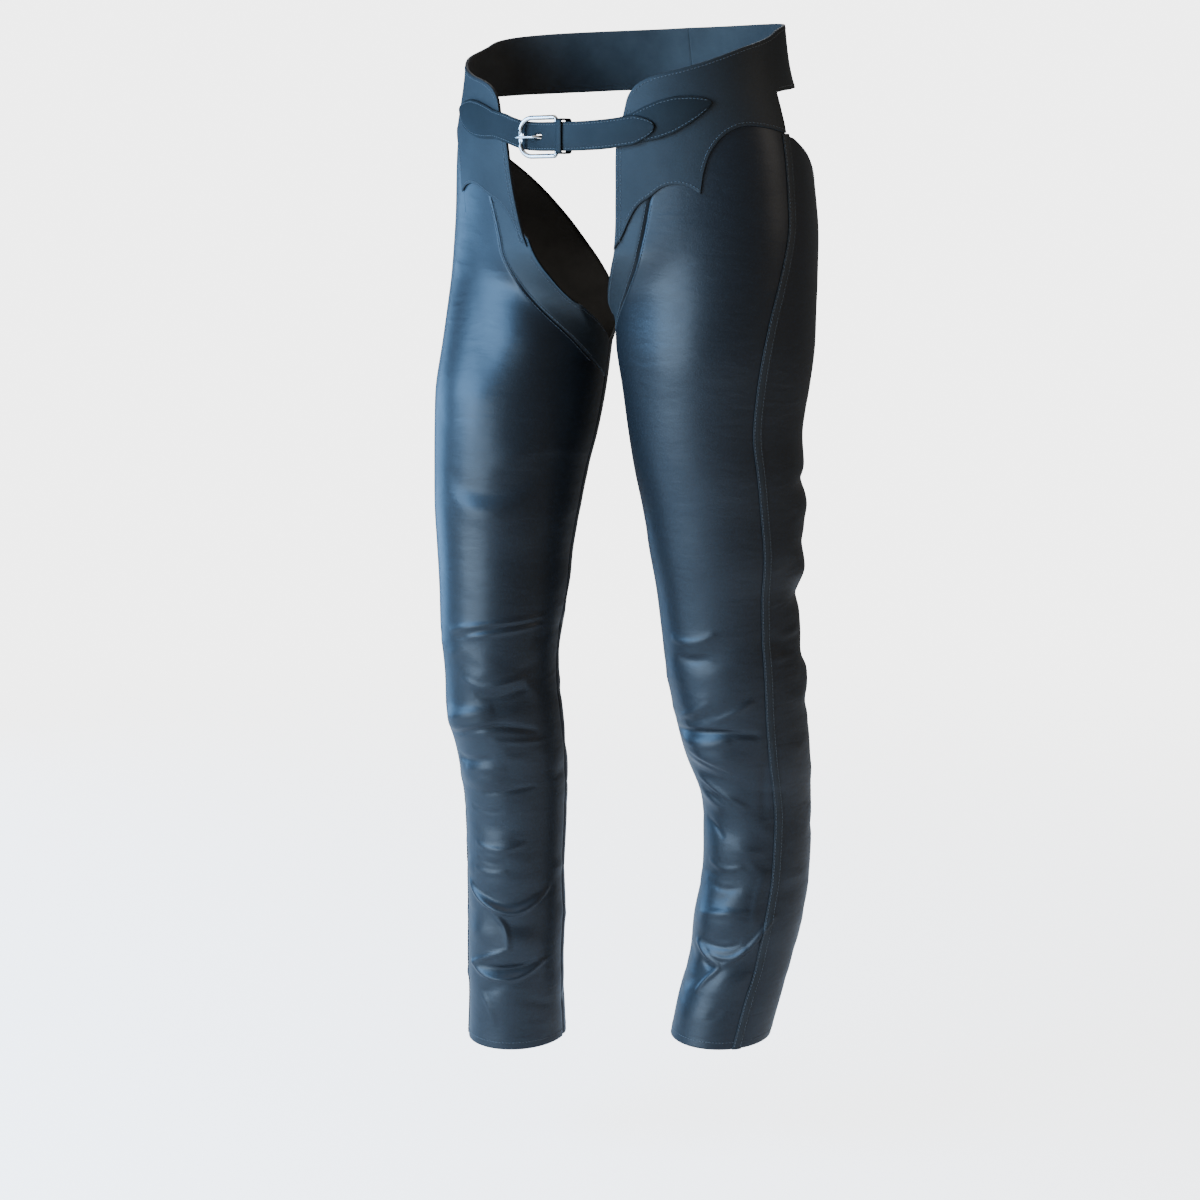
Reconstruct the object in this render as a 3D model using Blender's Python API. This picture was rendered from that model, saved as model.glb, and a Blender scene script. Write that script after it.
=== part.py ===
"""Full-length leather riding chaps, hollow, in the shape they take when worn.

Metres, +Z up. The origin is the middle of the waist at belt height, +X is the wearer's left and
the wearer faces -Y. A place on a chap is a wrap angle round the leg and a height. The wrap is 0
degrees at the inner side of the thigh, 90 at its front, 180 at its outer side, and it runs on over
the hip, where 0 is the middle of the belly and 360 the middle of the back. Every piece is a wall
between two skins of that surface, so a lift is a distance out from it.
"""

import math

import bmesh
import bpy
from mathutils import Vector

LEFT = 1
RIGHT = -1
SIDE_NAMES = {LEFT: "left", RIGHT: "right"}
MM = 0.001

# Leather weights and the layers that they make, from the leg leather outwards
SEAM_GAP = 0.3 * MM
LEG_WALL = 1.6 * MM
YOKE_IN = 0.4 * MM
YOKE_OUT = 3.4 * MM
STRAP_IN = 4.0 * MM
STRAP_WALL = 2.0 * MM
COVER_IN = LEG_WALL + SEAM_GAP
COVER_OUT = COVER_IN + 1.2 * MM
COVER_WIDTH = 9 * MM
NEAR_SEAM = COVER_WIDTH / 2 + 0.5 * MM

# Heights of the garment
CROTCH_Z = -0.190
HIP_Z = -0.095
HEM_Z = {LEFT: -0.872, RIGHT: -0.878}
STRIP_END_Z = -0.220
INNER_SEAM = -25
BACK_SEAM = 360 + INNER_SEAM

# Cross-sections of each leg: height, centre out from the midline, centre back, half width, half depth
LEG_SECTIONS = {
    RIGHT: [
        (-0.150, 0.093, -0.027, 0.0810, 0.0870),
        (-0.190, 0.093, -0.031, 0.0790, 0.0854),
        (-0.232, 0.093, -0.038, 0.0780, 0.0837),
        (-0.270, 0.092, -0.046, 0.0750, 0.0801),
        (-0.307, 0.092, -0.054, 0.0705, 0.0750),
        (-0.345, 0.091, -0.061, 0.0668, 0.0709),
        (-0.384, 0.091, -0.065, 0.0624, 0.0659),
        (-0.422, 0.090, -0.068, 0.0599, 0.0629),
        (-0.461, 0.090, -0.073, 0.0560, 0.0585),
        (-0.500, 0.089, -0.074, 0.0530, 0.0550),
        (-0.541, 0.089, -0.070, 0.0536, 0.0562),
        (-0.583, 0.088, -0.061, 0.0512, 0.0541),
        (-0.624, 0.088, -0.056, 0.0484, 0.0516),
        (-0.666, 0.088, -0.055, 0.0460, 0.0495),
        (-0.707, 0.088, -0.056, 0.0446, 0.0485),
        (-0.749, 0.088, -0.055, 0.0448, 0.0492),
        (-0.790, 0.088, -0.057, 0.0440, 0.0486),
        (-0.833, 0.088, -0.056, 0.0436, 0.0484),
        (-0.880, 0.088, -0.056, 0.0451, 0.0504),
    ],
    LEFT: [
        (-0.150, 0.093, 0.021, 0.0900, 0.0970),
        (-0.188, 0.093, 0.022, 0.0879, 0.0950),
        (-0.225, 0.093, 0.023, 0.0830, 0.0894),
        (-0.263, 0.092, 0.024, 0.0780, 0.0836),
        (-0.301, 0.092, 0.031, 0.0764, 0.0815),
        (-0.340, 0.092, 0.038, 0.0729, 0.0773),
        (-0.379, 0.092, 0.044, 0.0705, 0.0747),
        (-0.418, 0.091, 0.048, 0.0655, 0.0688),
        (-0.458, 0.091, 0.054, 0.0642, 0.0671),
        (-0.499, 0.092, 0.061, 0.0645, 0.0670),
        (-0.541, 0.094, 0.068, 0.0620, 0.0650),
        (-0.583, 0.097, 0.076, 0.0583, 0.0618),
        (-0.627, 0.100, 0.087, 0.0514, 0.0547),
        (-0.669, 0.101, 0.089, 0.0503, 0.0543),
        (-0.711, 0.100, 0.088, 0.0500, 0.0543),
        (-0.750, 0.096, 0.084, 0.0512, 0.0565),
        (-0.790, 0.091, 0.080, 0.0487, 0.0538),
        (-0.828, 0.085, 0.071, 0.0480, 0.0533),
        (-0.880, 0.079, 0.058, 0.0463, 0.0516),
    ],
}

# Cross-sections of the hips: height, half width, depth in front, depth behind, centre back
HIP_SECTIONS = [
    (-0.200, 0.188, 0.107, 0.136, 0.006),
    (-0.100, 0.190, 0.106, 0.132, 0.012),
    (-0.065, 0.189, 0.105, 0.127, 0.013),
    (0.000, 0.182, 0.101, 0.120, 0.008),
    (0.060, 0.166, 0.095, 0.108, 0.002),
    (0.110, 0.161, 0.092, 0.101, -0.001),
]
# The belly is flatter than an ellipse, and the seat is one
BELLY_SQUARENESS = 2.3
SEAT_SQUARENESS = 2.0
# The angle round the hips is this share of the wrap angle, and swings ahead of it by some degrees
HIP_SHARE = 0.5
HIP_SWING = 8

# Cut lines: height, wrap angle
OPENING_EDGE = {
    RIGHT: [
        (STRIP_END_Z, -25), (CROTCH_Z, -25), (-0.178, -21), (-0.165, -14), (-0.155, -6), (-0.142, 4),
        (-0.120, 9), (-0.104, 12.5), (-0.083, 18), (-0.056, 23), (-0.030, 26.5), (0.000, 30),
        (0.021, 36), (0.030, 38),
    ],
    LEFT: [
        (STRIP_END_Z, -25), (CROTCH_Z, -25), (-0.182, -19), (-0.170, -4), (-0.156, 11), (-0.137, 22),
        (-0.105, 27.5), (-0.090, 28.5), (-0.050, 29), (0.000, 31), (0.021, 36), (0.030, 38),
    ],
}
STRIP_LINE = {
    RIGHT: [
        (STRIP_END_Z, -24.4), (-0.208, -10), (-0.195, 4), (-0.178, 17), (-0.159, 26), (-0.140, 30),
        (-0.120, 31), (-0.092, 34), (-0.072, 38.5), (-0.050, 44),
    ],
    LEFT: [
        (STRIP_END_Z, -24.4), (-0.212, -8), (-0.200, 10), (-0.182, 28), (-0.160, 38), (-0.140, 40.5),
        (-0.119, 41), (-0.100, 42), (-0.082, 44), (-0.065, 46), (-0.050, 48),
    ],
}
OUTER_SEAM = [
    (-0.880, 146), (-0.760, 146), (-0.650, 149), (-0.545, 152), (-0.400, 158), (-0.260, 155),
    (-0.070, 154), (0.005, 157),
]
SEAT_EDGE = [
    (STRIP_END_Z, 335), (CROTCH_Z, 335), (-0.182, 326), (-0.166, 308), (-0.140, 288),
    (-0.105, 266), (-0.070, 246), (-0.038, 222), (-0.015, 196), (0.000, 170),
]
# The back panel's corner at the outer seam stands above the end of its seat edge
SEAT_CORNER_RISE = 4 * MM

# Lower edge of the yoke, from the opening edge to the outer seam, and the band behind it.
# Its first points run up the side of the scallop over the thigh strip: share of the strip's width, height
STRIP_TOP = [(0.0, -0.096), (0.2, -0.086), (0.4, -0.071), (0.6, -0.060), (0.8, -0.054), (1.0, -0.050)]
# Two scallops that meet in a cusp: wrap angle, height
SCALLOPS = [
    (56, -0.0415), (64, -0.0390), (72, -0.0410), (79, -0.0470), (81, -0.0340), (84, -0.0215),
    (89, -0.0095), (97, 0.0010), (108, 0.0085), (120, 0.0110), (138, 0.0092),
    (157, 0.0050),
]
# Bottom of the band that goes round the back: wrap angle, height
BAND_BOTTOM = [
    (159.0, 0.0400), (172, 0.0420), (190, 0.0435), (210, 0.0450), (230, 0.0460), (250, 0.0470),
    (272, 0.0480), (294, 0.0490), (316, 0.0495), (338, 0.0500), (359.8, 0.0500),
]
# Top of the yoke: wrap angle, height
YOKE_TOP = [
    (38, 0.0300), (39.5, 0.0360), (42, 0.0415), (47, 0.0480), (57, 0.0540), (75, 0.0595),
    (91, 0.0645), (108, 0.0705), (128, 0.0775), (157, 0.0860), (178, 0.0950), (215, 0.1010),
    (270, 0.1045), (360, 0.1060),
]
YOKE_ROWS = 6

# Mesh of the legs: top of each band of height and its rows, from the hem up
ROW_BANDS = [(-0.835, 3), (-0.730, 9), (-0.450, 22), (-0.340, 6), (STRIP_END_Z, 4)]
UPPER_ROWS = 10
BACK_COLUMNS = 8
LEAST_LEAN = 0.3
# Steps to each side of a point from which the form's direction is taken: degrees and metres
TANGENT_TURN = 0.4
TANGENT_STEP = 0.8 * MM

# Folds: wrap angle and height of the middle, reach to each side in degrees, rise, width, sag at the
# ends and tilt across in millimetres. A negative rise is a trough.
FOLDS = {
    RIGHT: [
        (65, -0.323, 44, -2.0, 11, -20, 0),
        (65, -0.338, 44, 1.8, 13, -18, 0),
        (45, -0.286, 24, 1.2, 12, 0, -6),
        (42, -0.444, 46, -2.2, 9, 0, -5),
        (42, -0.457, 44, 2.4, 10, 0, -5),
        (66, -0.508, 40, 2.6, 10, -9, 0),
        (84, -0.522, 36, -2.4, 9, 0, -2),
        (80, -0.536, 34, 2.6, 9, 0, -2),
        (54, -0.551, 48, -2.2, 8, 0, -3),
        (54, -0.566, 44, 2.4, 11, 0, 0),
        (86, -0.582, 34, -2.2, 9, 0, 0),
        (80, -0.596, 34, 2.2, 10, 0, -2),
        (58, -0.614, 30, -1.8, 9, 0, -4),
        (80, -0.644, 34, -2.0, 9, 0, -2),
        (72, -0.656, 34, 1.8, 10, 0, -2),
        (70, -0.668, 36, -1.8, 9, 0, -2),
        (70, -0.684, 38, 2.0, 12, 0, -2),
        (60, -0.728, 48, -3.0, 9, -12, 0),
        (60, -0.740, 52, 3.4, 10, -15, 0),
        (80, -0.781, 32, 1.8, 9, 0, -8),
        (62, -0.793, 50, -2.4, 9, -4, -3),
        (60, -0.809, 50, 2.8, 11, -15, 0),
        (-62, -0.425, 40, -3.0, 11, 6, 0),
        (-64, -0.480, 40, -3.0, 10, 5, 4),
        (-60, -0.575, 44, -2.4, 11, 6, 0),
        (250, -0.452, 56, -3.0, 12, 8, 4),
        (256, -0.476, 56, 2.6, 12, 8, 2),
        (252, -0.500, 52, -3.2, 11, 4, -4),
        (246, -0.532, 50, 2.2, 12, -6, 0),
        (238, -0.735, 44, -2.2, 10, -8, 3),
        (232, -0.792, 46, -2.4, 10, -8, -3),
    ],
    LEFT: [
        (88, -0.462, 28, 2.0, 14, 0, 5),
        (94, -0.480, 26, -1.6, 11, 0, 0),
        (88, -0.516, 34, 2.4, 10, 0, 3),
        (120, -0.538, 40, 2.2, 9, 4, 12),
        (92, -0.552, 46, -2.6, 9, -4, -2),
        (88, -0.568, 42, 2.4, 13, 0, 0),
        (94, -0.604, 38, -2.4, 9, 0, -17),
        (90, -0.620, 36, 2.4, 9, 0, -12),
        (88, -0.640, 42, -2.0, 9, 0, 4),
        (70, -0.654, 32, 1.6, 10, 0, -8),
        (84, -0.706, 34, -1.8, 9, -6, -3),
        (86, -0.718, 34, 2.2, 11, -6, -3),
        (88, -0.777, 28, -2.6, 9, 0, -10),
        (84, -0.787, 40, 3.2, 9, -3, -10),
        (130, -0.768, 36, 3.0, 9, 0, 26),
        (92, -0.802, 22, 2.4, 10, 0, 12),
        (212, -0.312, 34, -3.2, 9, 0, 4),
        (214, -0.336, 38, 2.4, 12, 0, 4),
        (214, -0.372, 38, -2.0, 10, 0, -4),
        (212, -0.398, 38, 2.4, 11, 0, 0),
        (212, -0.424, 40, -3.0, 10, 0, 4),
        (236, -0.476, 50, -3.0, 11, 8, 0),
        (240, -0.500, 50, 2.6, 12, 8, 0),
        (238, -0.526, 50, -3.0, 11, 6, 4),
        (-56, -0.500, 40, -2.4, 11, 6, 0),
        (-58, -0.560, 40, -2.4, 11, 6, 4),
        (236, -0.745, 44, -2.2, 10, -8, 3),
        (230, -0.790, 44, -2.2, 10, -8, -3),
    ],
}

# The belt: height of its middle for each distance from the midline
BELT_LINE = {
    RIGHT: [
        (0.0, 0.003), (0.020, 0.0032), (0.037, 0.0044), (0.050, 0.0075), (0.062, 0.0112), (0.085, 0.016),
        (0.112, 0.021), (0.135, 0.026), (0.150, 0.032),
    ],
    LEFT: [
        (0.0, 0.003), (0.030, 0.0033), (0.058, 0.0048), (0.075, 0.0080), (0.098, 0.0148), (0.120, 0.0215),
        (0.136, 0.027), (0.150, 0.033),
    ],
}
BELT_HALF = 12.7 * MM
# The leaf that widens each end of the belt on its yoke: distance from the midline, half width
LEAF = [
    (0.078, BELT_HALF), (0.090, 0.0150), (0.104, 0.0165), (0.116, 0.0158), (0.127, 0.0126), (0.135, 0.0085),
    (0.141, 0.0038), (0.1435, 0.0006),
]

# The buckle: a wire frame on a bar, which a prong turns round
BAR_X = -0.001
BUCKLE_Z = 0.003
BUCKLE_TILT = -0.02
BAR_LIFT = 1.9 * MM
BAR_RADIUS = 1.8 * MM
BAR_BEND = 2.5 * MM
FRAME_RADIUS = 2.1 * MM
ROUND_END_X = -0.037
ROUND_END_LIFT = 9.0 * MM
FRAME_HALF_HEIGHT = 17.0 * MM
FRAME_CORNER = 11.5 * MM
CORNER_STEPS = 6
PRONG_RADIUS = 1.2 * MM
PRONG_HOLE_X = -0.0165
PRONG_RING_START = 190
PRONG_RING_TURN = 260
PRONG_RING_STEPS = 10

# Cuts through the belt: the slot for the prong's ring, and the holes of the free end
RETURN_END_X = 0.030
TURN_STEPS = 8
STRAP_COLUMNS = 4
SLOT_WIDTH = 3.6 * MM
PRONG_HOLE_LENGTH = 9.7 * MM
SPARE_HOLE = 2.6 * MM
HOLE_PITCH = 22 * MM
CUT_DEPTH = 12 * MM

# Middle of the free belt end, from the right yoke through the buckle to its point: across, lift in mm
FREE_END = [
    (-0.060, 5.0), (-0.045, 5.0), (-0.033, 5.0), (-0.024, 6.2), (-0.016, 7.7), (-0.007, 8.2), (0.000, 8.2),
    (0.009, 8.0), (0.020, 7.6), (0.060, 7.4),
]
FREE_END_LINE = [(0.0, 0.003), (0.030, 0.0033), (0.058, 0.0050), (0.075, 0.0070), (0.100, 0.0100)]
FREE_END_TIP = 0.101
FREE_END_POINT = 0.020
# The stretch of the free end that bends over the buckle
BENDS_FROM = -0.041
BENDS_TO = 0.020
KEEPER_X = (0.0050, 0.0115)
KEEPER_WALL = 1.6 * MM
KEEPER_LIFTS = (-3.4 * MM, 9.3 * MM)
KEEPER_HALF = BELT_HALF + 1.3 * MM

COLOURS = {
    "leather": ((0.014, 0.013, 0.013), 0.42, 0.0),
    "trim_leather": ((0.022, 0.021, 0.019), 0.60, 0.0),
    "belt_leather": ((0.016, 0.015, 0.014), 0.48, 0.0),
    "nickel": ((0.72, 0.71, 0.68), 0.22, 1.0),
}


def smooth_between(rows, at):
    """Reads a table whose first column rises, with a smooth curve through its rows."""
    last = len(rows) - 2
    low = 0
    while low < last and at > rows[low + 1][0]:
        low += 1
    start, end = rows[low], rows[low + 1]
    span = end[0] - start[0]
    t = min(max((at - start[0]) / span, -0.5), 1.5)
    values = []
    for column in range(1, len(start)):
        slopes = []
        for middle in (low, low + 1):
            before = rows[max(middle - 1, 0)]
            after = rows[min(middle + 1, last + 1)]
            slopes.append((after[column] - before[column]) / (after[0] - before[0]) * span)
        rise = end[column] - start[column]
        bend = (slopes[0] + slopes[1] - 2 * rise) * t + 3 * rise - 2 * slopes[0] - slopes[1]
        values.append(start[column] + slopes[0] * t + bend * t * t)
    return values


def straight_between(rows, at):
    """Reads the second column of a table whose first column rises, with straight lines."""
    if at <= rows[0][0]:
        return rows[0][1]
    for start, end in zip(rows, rows[1:]):
        if at <= end[0]:
            return start[1] + (end[1] - start[1]) * (at - start[0]) / (end[0] - start[0])
    return rows[-1][1]


def leg_point(side, wrap, z):
    out, back, half_width, half_depth = smooth_between(sorted(LEG_SECTIONS[side]), z)
    turn = math.radians(wrap - 90)
    return Vector((side * (out + half_width * math.sin(turn)), back - half_depth * math.cos(turn), z))


def squared(value, squareness):
    return math.copysign(abs(value) ** (2 / squareness), value)


def hip_point(side, wrap, z):
    wrap = max(wrap, 0)
    half_width, front, behind, back = smooth_between(HIP_SECTIONS, z)
    turn = math.radians(wrap * HIP_SHARE + HIP_SWING * math.sin(math.radians(wrap / 2)))
    depth, squareness = (front, BELLY_SQUARENESS) if math.cos(turn) > 0 else (behind, SEAT_SQUARENESS)
    out = half_width * squared(math.sin(turn), squareness)
    return Vector((side * out, back - depth * squared(math.cos(turn), squareness), z))


def body_point(side, wrap, z):
    """The leg's ring below the crotch, the hips above the thigh, and a smooth change between them."""
    share = min(max((z - CROTCH_Z) / (HIP_Z - CROTCH_Z), 0), 1)
    share = share * share * (3 - 2 * share)
    if share == 0:
        return leg_point(side, wrap, z)
    return leg_point(side, wrap, z).lerp(hip_point(side, wrap, z), share)


def fold_rise(side, wrap, z):
    total = 0
    for middle, height, reach, rise, width, sag, tilt in FOLDS[side]:
        along = ((wrap - middle + 180) % 360 - 180) / reach
        if abs(along) >= 1:
            continue
        line = height - sag * MM * along * along + tilt * MM * along
        across = (z - line) / (width * MM)
        total += rise * MM * math.cos(along * math.pi / 2) ** 2 * math.exp(-across * across)
    return total


def skin_point(side, wrap, z, lift):
    """A point on the garment's form, moved out by the lift and by the folds."""
    along = body_point(side, wrap + TANGENT_TURN, z) - body_point(side, wrap - TANGENT_TURN, z)
    up = body_point(side, wrap, z + TANGENT_STEP) - body_point(side, wrap, z - TANGENT_STEP)
    outward = along.cross(up).normalized() * side
    return body_point(side, wrap, z) + outward * (lift + fold_rise(side, wrap, z))


def degrees_for(side, wrap, z, width):
    """The wrap angle that spans a width on the form."""
    span = (body_point(side, wrap + 1, z) - body_point(side, wrap - 1, z)).length / 2
    return width / span


def belly_point(across, z, lift):
    """A point on the front of the hips for a signed distance from the midline."""

    def front(x, height):
        half_width, depth, _, back = smooth_between(HIP_SECTIONS, height)
        share = 1 - (abs(x) / half_width) ** BELLY_SQUARENESS
        return Vector((x, back - depth * share ** (1 / BELLY_SQUARENESS), height))

    along = front(across + TANGENT_STEP, z) - front(across - TANGENT_STEP, z)
    up = front(across, z + TANGENT_STEP) - front(across, z - TANGENT_STEP)
    return front(across, z) + along.cross(up).normalized() * lift


def make_material(name):
    colour, roughness, metallic = COLOURS[name]
    material = bpy.data.materials.new(name)
    material.use_nodes = True
    shader = material.node_tree.nodes["Principled BSDF"]
    shader.inputs["Base Color"].default_value = (*colour, 1)
    shader.inputs["Roughness"].default_value = roughness
    shader.inputs["Metallic"].default_value = metallic
    return material


def add_object(name, mesh_builder, material, smooth_degrees=40):
    mesh_builder.normal_update()
    bmesh.ops.recalc_face_normals(mesh_builder, faces=mesh_builder.faces)
    mesh = bpy.data.meshes.new(name)
    mesh_builder.to_mesh(mesh)
    mesh_builder.free()
    mesh.materials.append(material)
    mesh.shade_smooth()
    mesh.set_sharp_from_angle(angle=math.radians(smooth_degrees))
    piece = bpy.data.objects.new(name, mesh)
    bpy.context.scene.collection.objects.link(piece)
    return piece


def add_wall(name, inner_rows, outer_rows, material):
    """A closed wall between two grids of points with the same rows and columns."""
    builder = bmesh.new()
    inner = [[builder.verts.new(point) for point in row] for row in inner_rows]
    outer = [[builder.verts.new(point) for point in row] for row in outer_rows]
    rows, columns = len(inner), len(inner[0])
    for low in range(rows - 1):
        for left in range(columns - 1):
            for grid in (inner, outer):
                corners = (grid[low][left], grid[low][left + 1], grid[low + 1][left + 1], grid[low + 1][left])
                builder.faces.new(corners)
    rim = [(0, column) for column in range(columns)]
    rim += [(row, columns - 1) for row in range(1, rows)]
    rim += [(rows - 1, column) for column in range(columns - 2, -1, -1)]
    rim += [(row, 0) for row in range(rows - 2, 0, -1)]
    for (row, column), (next_row, next_column) in zip(rim, rim[1:] + rim[:1]):
        inside = (inner[row][column], inner[next_row][next_column])
        outside = (outer[next_row][next_column], outer[row][column])
        builder.faces.new(inside + outside)
    return add_object(name, builder, material)


def add_form_wall(name, side, grid, lift_in, lift_out, material):
    """A wall over a grid of (wrap, height) places on one chap."""
    inner = [[skin_point(side, wrap, z, lift_in) for wrap, z in row] for row in grid]
    outer = [[skin_point(side, wrap, z, lift_out) for wrap, z in row] for row in grid]
    return add_wall(name, inner, outer, material)


def blend_patch(bottom, top, left, right):
    """A grid that meets four edge lines, each a list of (wrap, height) places."""
    rows, columns = len(left) - 1, len(bottom) - 1
    grid = []
    for row in range(rows + 1):
        v = row / rows
        line = []
        for column in range(columns + 1):
            u = column / columns
            place = []
            for axis in (0, 1):
                edges = (1 - v) * bottom[column][axis] + v * top[column][axis]
                edges += (1 - u) * left[row][axis] + u * right[row][axis]
                corners = (1 - u) * (1 - v) * bottom[0][axis] + u * (1 - v) * bottom[-1][axis]
                corners += (1 - u) * v * top[0][axis] + u * v * top[-1][axis]
                place.append(edges - corners)
            line.append(tuple(place))
        grid.append(line)
    return grid


def even_steps(start, end, count):
    return [start + (end - start) * step / count for step in range(count + 1)]


def seam_wrap(z):
    return smooth_between(OUTER_SEAM, z)[0]


def tube_heights(side):
    heights = [HEM_Z[side]]
    for top, count in ROW_BANDS:
        heights += even_steps(heights[-1], top, count)[1:]
    return heights


def strip_top_line(side):
    """The yoke's edge over the thigh strip, from the opening edge to the strip's line."""
    first = straight_between(OPENING_EDGE[side], STRIP_TOP[0][1])
    last = straight_between(STRIP_LINE[side], STRIP_TOP[-1][1])
    return [(first + (last - first) * share, z) for share, z in STRIP_TOP]


def yoke_edge(side):
    return strip_top_line(side) + SCALLOPS


def edge_rows(table, low, high, side_shift, side):
    """Places up a cut line, moved sideways so that half a seam gap lies square to the line."""
    step = (high - low) / UPPER_ROWS
    places = []
    for z in even_steps(low, high, UPPER_ROWS):
        wrap = straight_between(table, z)
        above = body_point(side, straight_between(table, z + step / 2), z + step / 2)
        below = body_point(side, straight_between(table, z - step / 2), z - step / 2)
        along = body_point(side, wrap + 1, z) - body_point(side, wrap - 1, z)
        lean = (above - below).normalized().cross(along.normalized()).length
        gap = SEAM_GAP / 2 / max(lean, LEAST_LEAN)
        places.append((wrap + side_shift * degrees_for(side, wrap, z, gap), z))
    return places


def lowered(places):
    """An edge just under the yoke's edge."""
    return [(wrap, z - SEAM_GAP) for wrap, z in places]


def shifted(side, wrap, z, distance):
    return wrap + degrees_for(side, wrap, z, distance)


def leg_front_grid(side):
    """The front panel: inner seam and strip line on one side, outer seam on the other, hem to yoke."""
    top = lowered(yoke_edge(side)[len(STRIP_TOP) - 1:])
    seam, seam_top = top[-1]
    near_seam = shifted(side, seam, seam_top, -NEAR_SEAM)
    top.insert(-1, (near_seam, straight_between(SCALLOPS, near_seam) - SEAM_GAP))
    inner_low, inner_high = STRIP_LINE[side][0][0], STRIP_TOP[-1][1] - SEAM_GAP
    left = edge_rows(STRIP_LINE[side], inner_low, inner_high, 1, side)
    heights = even_steps(STRIP_END_Z, top[-1][1], UPPER_ROWS)
    right = [(shifted(side, seam_wrap(z), z, -SEAM_GAP / 2), z) for z in heights]
    top[0], top[-1] = left[-1], right[-1]
    columns = len(top) - 1
    rows = []
    for z in tube_heights(side)[:-1]:
        first = shifted(side, INNER_SEAM, z, SEAM_GAP / 2)
        last = shifted(side, seam_wrap(z), z, -SEAM_GAP / 2)
        near_seam = shifted(side, seam_wrap(z), z, -NEAR_SEAM)
        rows.append([(wrap, z) for wrap in even_steps(first, near_seam, columns - 1) + [last]])
    near_seam = shifted(side, seam_wrap(STRIP_END_Z), STRIP_END_Z, -NEAR_SEAM)
    bottom = [(wrap, STRIP_END_Z) for wrap in even_steps(left[0][0], near_seam, columns - 1) + [right[0][0]]]
    return rows + blend_patch(bottom, top, left, right)


def leg_back_grid(side):
    """The back panel: outer seam to inner seam, with the scooped edge under the seat on top."""
    seat_low, seat_high = SEAT_EDGE[0][0], SEAT_EDGE[-1][0]
    heights = even_steps(seat_low, seat_high + SEAT_CORNER_RISE, UPPER_ROWS)
    left = [(shifted(side, seam_wrap(z), z, SEAM_GAP / 2), z) for z in heights]
    right = edge_rows(SEAT_EDGE, seat_low, seat_high, -1, side)
    (top_start, start_z), (top_end, end_z) = left[-1], right[-1]
    near_seam = shifted(side, seam_wrap(start_z), start_z, NEAR_SEAM)
    top = []
    for wrap in [top_start] + even_steps(near_seam, top_end, BACK_COLUMNS):
        top.append((wrap, start_z + (end_z - start_z) * (wrap - top_start) / (top_end - top_start)))
    rows = []
    for z in tube_heights(side):
        first = shifted(side, seam_wrap(z), z, SEAM_GAP / 2)
        near_seam = shifted(side, seam_wrap(z), z, NEAR_SEAM)
        last = shifted(side, BACK_SEAM, z, -SEAM_GAP / 2)
        rows.append([(wrap, z) for wrap in [first] + even_steps(near_seam, last, BACK_COLUMNS)])
    return rows + blend_patch(rows[-1], top, left, right)[1:]


def thigh_strip_grid(side):
    """The trim down the inner thigh, between the opening edge and its seam with the front panel."""
    top = lowered(strip_top_line(side))
    left = edge_rows(OPENING_EDGE[side], STRIP_END_Z, top[0][1], 0, side)
    right = edge_rows(STRIP_LINE[side], STRIP_END_Z, top[-1][1], -1, side)
    top[0], top[-1] = left[-1], right[-1]
    bottom = [(wrap, STRIP_END_Z) for wrap in even_steps(left[0][0], right[0][0], len(top) - 1)]
    return blend_patch(bottom, top, left, right)


def yoke_grid(side):
    """The yoke: opening edge in front, scallops and back band below, centre back seam behind."""
    bottom = yoke_edge(side) + BAND_BOTTOM
    opening_top = OPENING_EDGE[side][-1]
    first_z = bottom[0][1]
    left_heights = even_steps(first_z, opening_top[0], YOKE_ROWS)
    left = [(straight_between(OPENING_EDGE[side], z), z) for z in left_heights]
    front_wraps = even_steps(opening_top[1], SCALLOPS[0][0], len(STRIP_TOP))
    top_wraps = front_wraps[:-1] + [wrap for wrap, z in bottom[len(STRIP_TOP):]]
    top = [(wrap, straight_between(YOKE_TOP, wrap)) for wrap in top_wraps]
    right = [(bottom[-1][0], z) for z in even_steps(bottom[-1][1], top[-1][1], YOKE_ROWS)]
    return blend_patch(bottom, top, left, right)


def seam_cover_grid(side):
    """The narrow cover down the outer seam, from the hem to the yoke."""
    top = OUTER_SEAM[-1][0] - 2 * SEAM_GAP
    heights = tube_heights(side) + even_steps(STRIP_END_Z, top, UPPER_ROWS)[1:]
    shifts = even_steps(-COVER_WIDTH / 2, COVER_WIDTH / 2, 2)
    return [[(shifted(side, seam_wrap(z), z, shift), z) for shift in shifts] for z in heights]


def add_chap(side, materials):
    name = SIDE_NAMES[side]
    leather, trim = materials["leather"], materials["trim_leather"]
    add_form_wall("leg_front_" + name, side, leg_front_grid(side), 0, LEG_WALL, leather)
    add_form_wall("leg_back_" + name, side, leg_back_grid(side), 0, LEG_WALL, leather)
    add_form_wall("thigh_strip_" + name, side, thigh_strip_grid(side), 0, LEG_WALL, trim)
    add_form_wall("yoke_" + name, side, yoke_grid(side), YOKE_IN, YOKE_OUT, leather)
    add_form_wall("seam_cover_" + name, side, seam_cover_grid(side), COVER_IN, COVER_OUT, leather)


def strap_row(x, middle, half, lift):
    """Points across a strap, at a signed distance from the midline."""
    return [belly_point(x, middle + half * share, lift) for share in even_steps(-1, 1, STRAP_COLUMNS)]


def strap_skins(stations, middle_of, half_of, lift_of):
    """The inner and outer skin of a strap that runs over a list of stations."""
    inner = [strap_row(x, middle_of(x), half_of(x), lift_of(x) - STRAP_WALL / 2) for x in stations]
    outer = [strap_row(x, middle_of(x), half_of(x), lift_of(x) + STRAP_WALL / 2) for x in stations]
    return inner, outer


def leaf_half(x):
    return straight_between(LEAF, abs(x))


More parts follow.
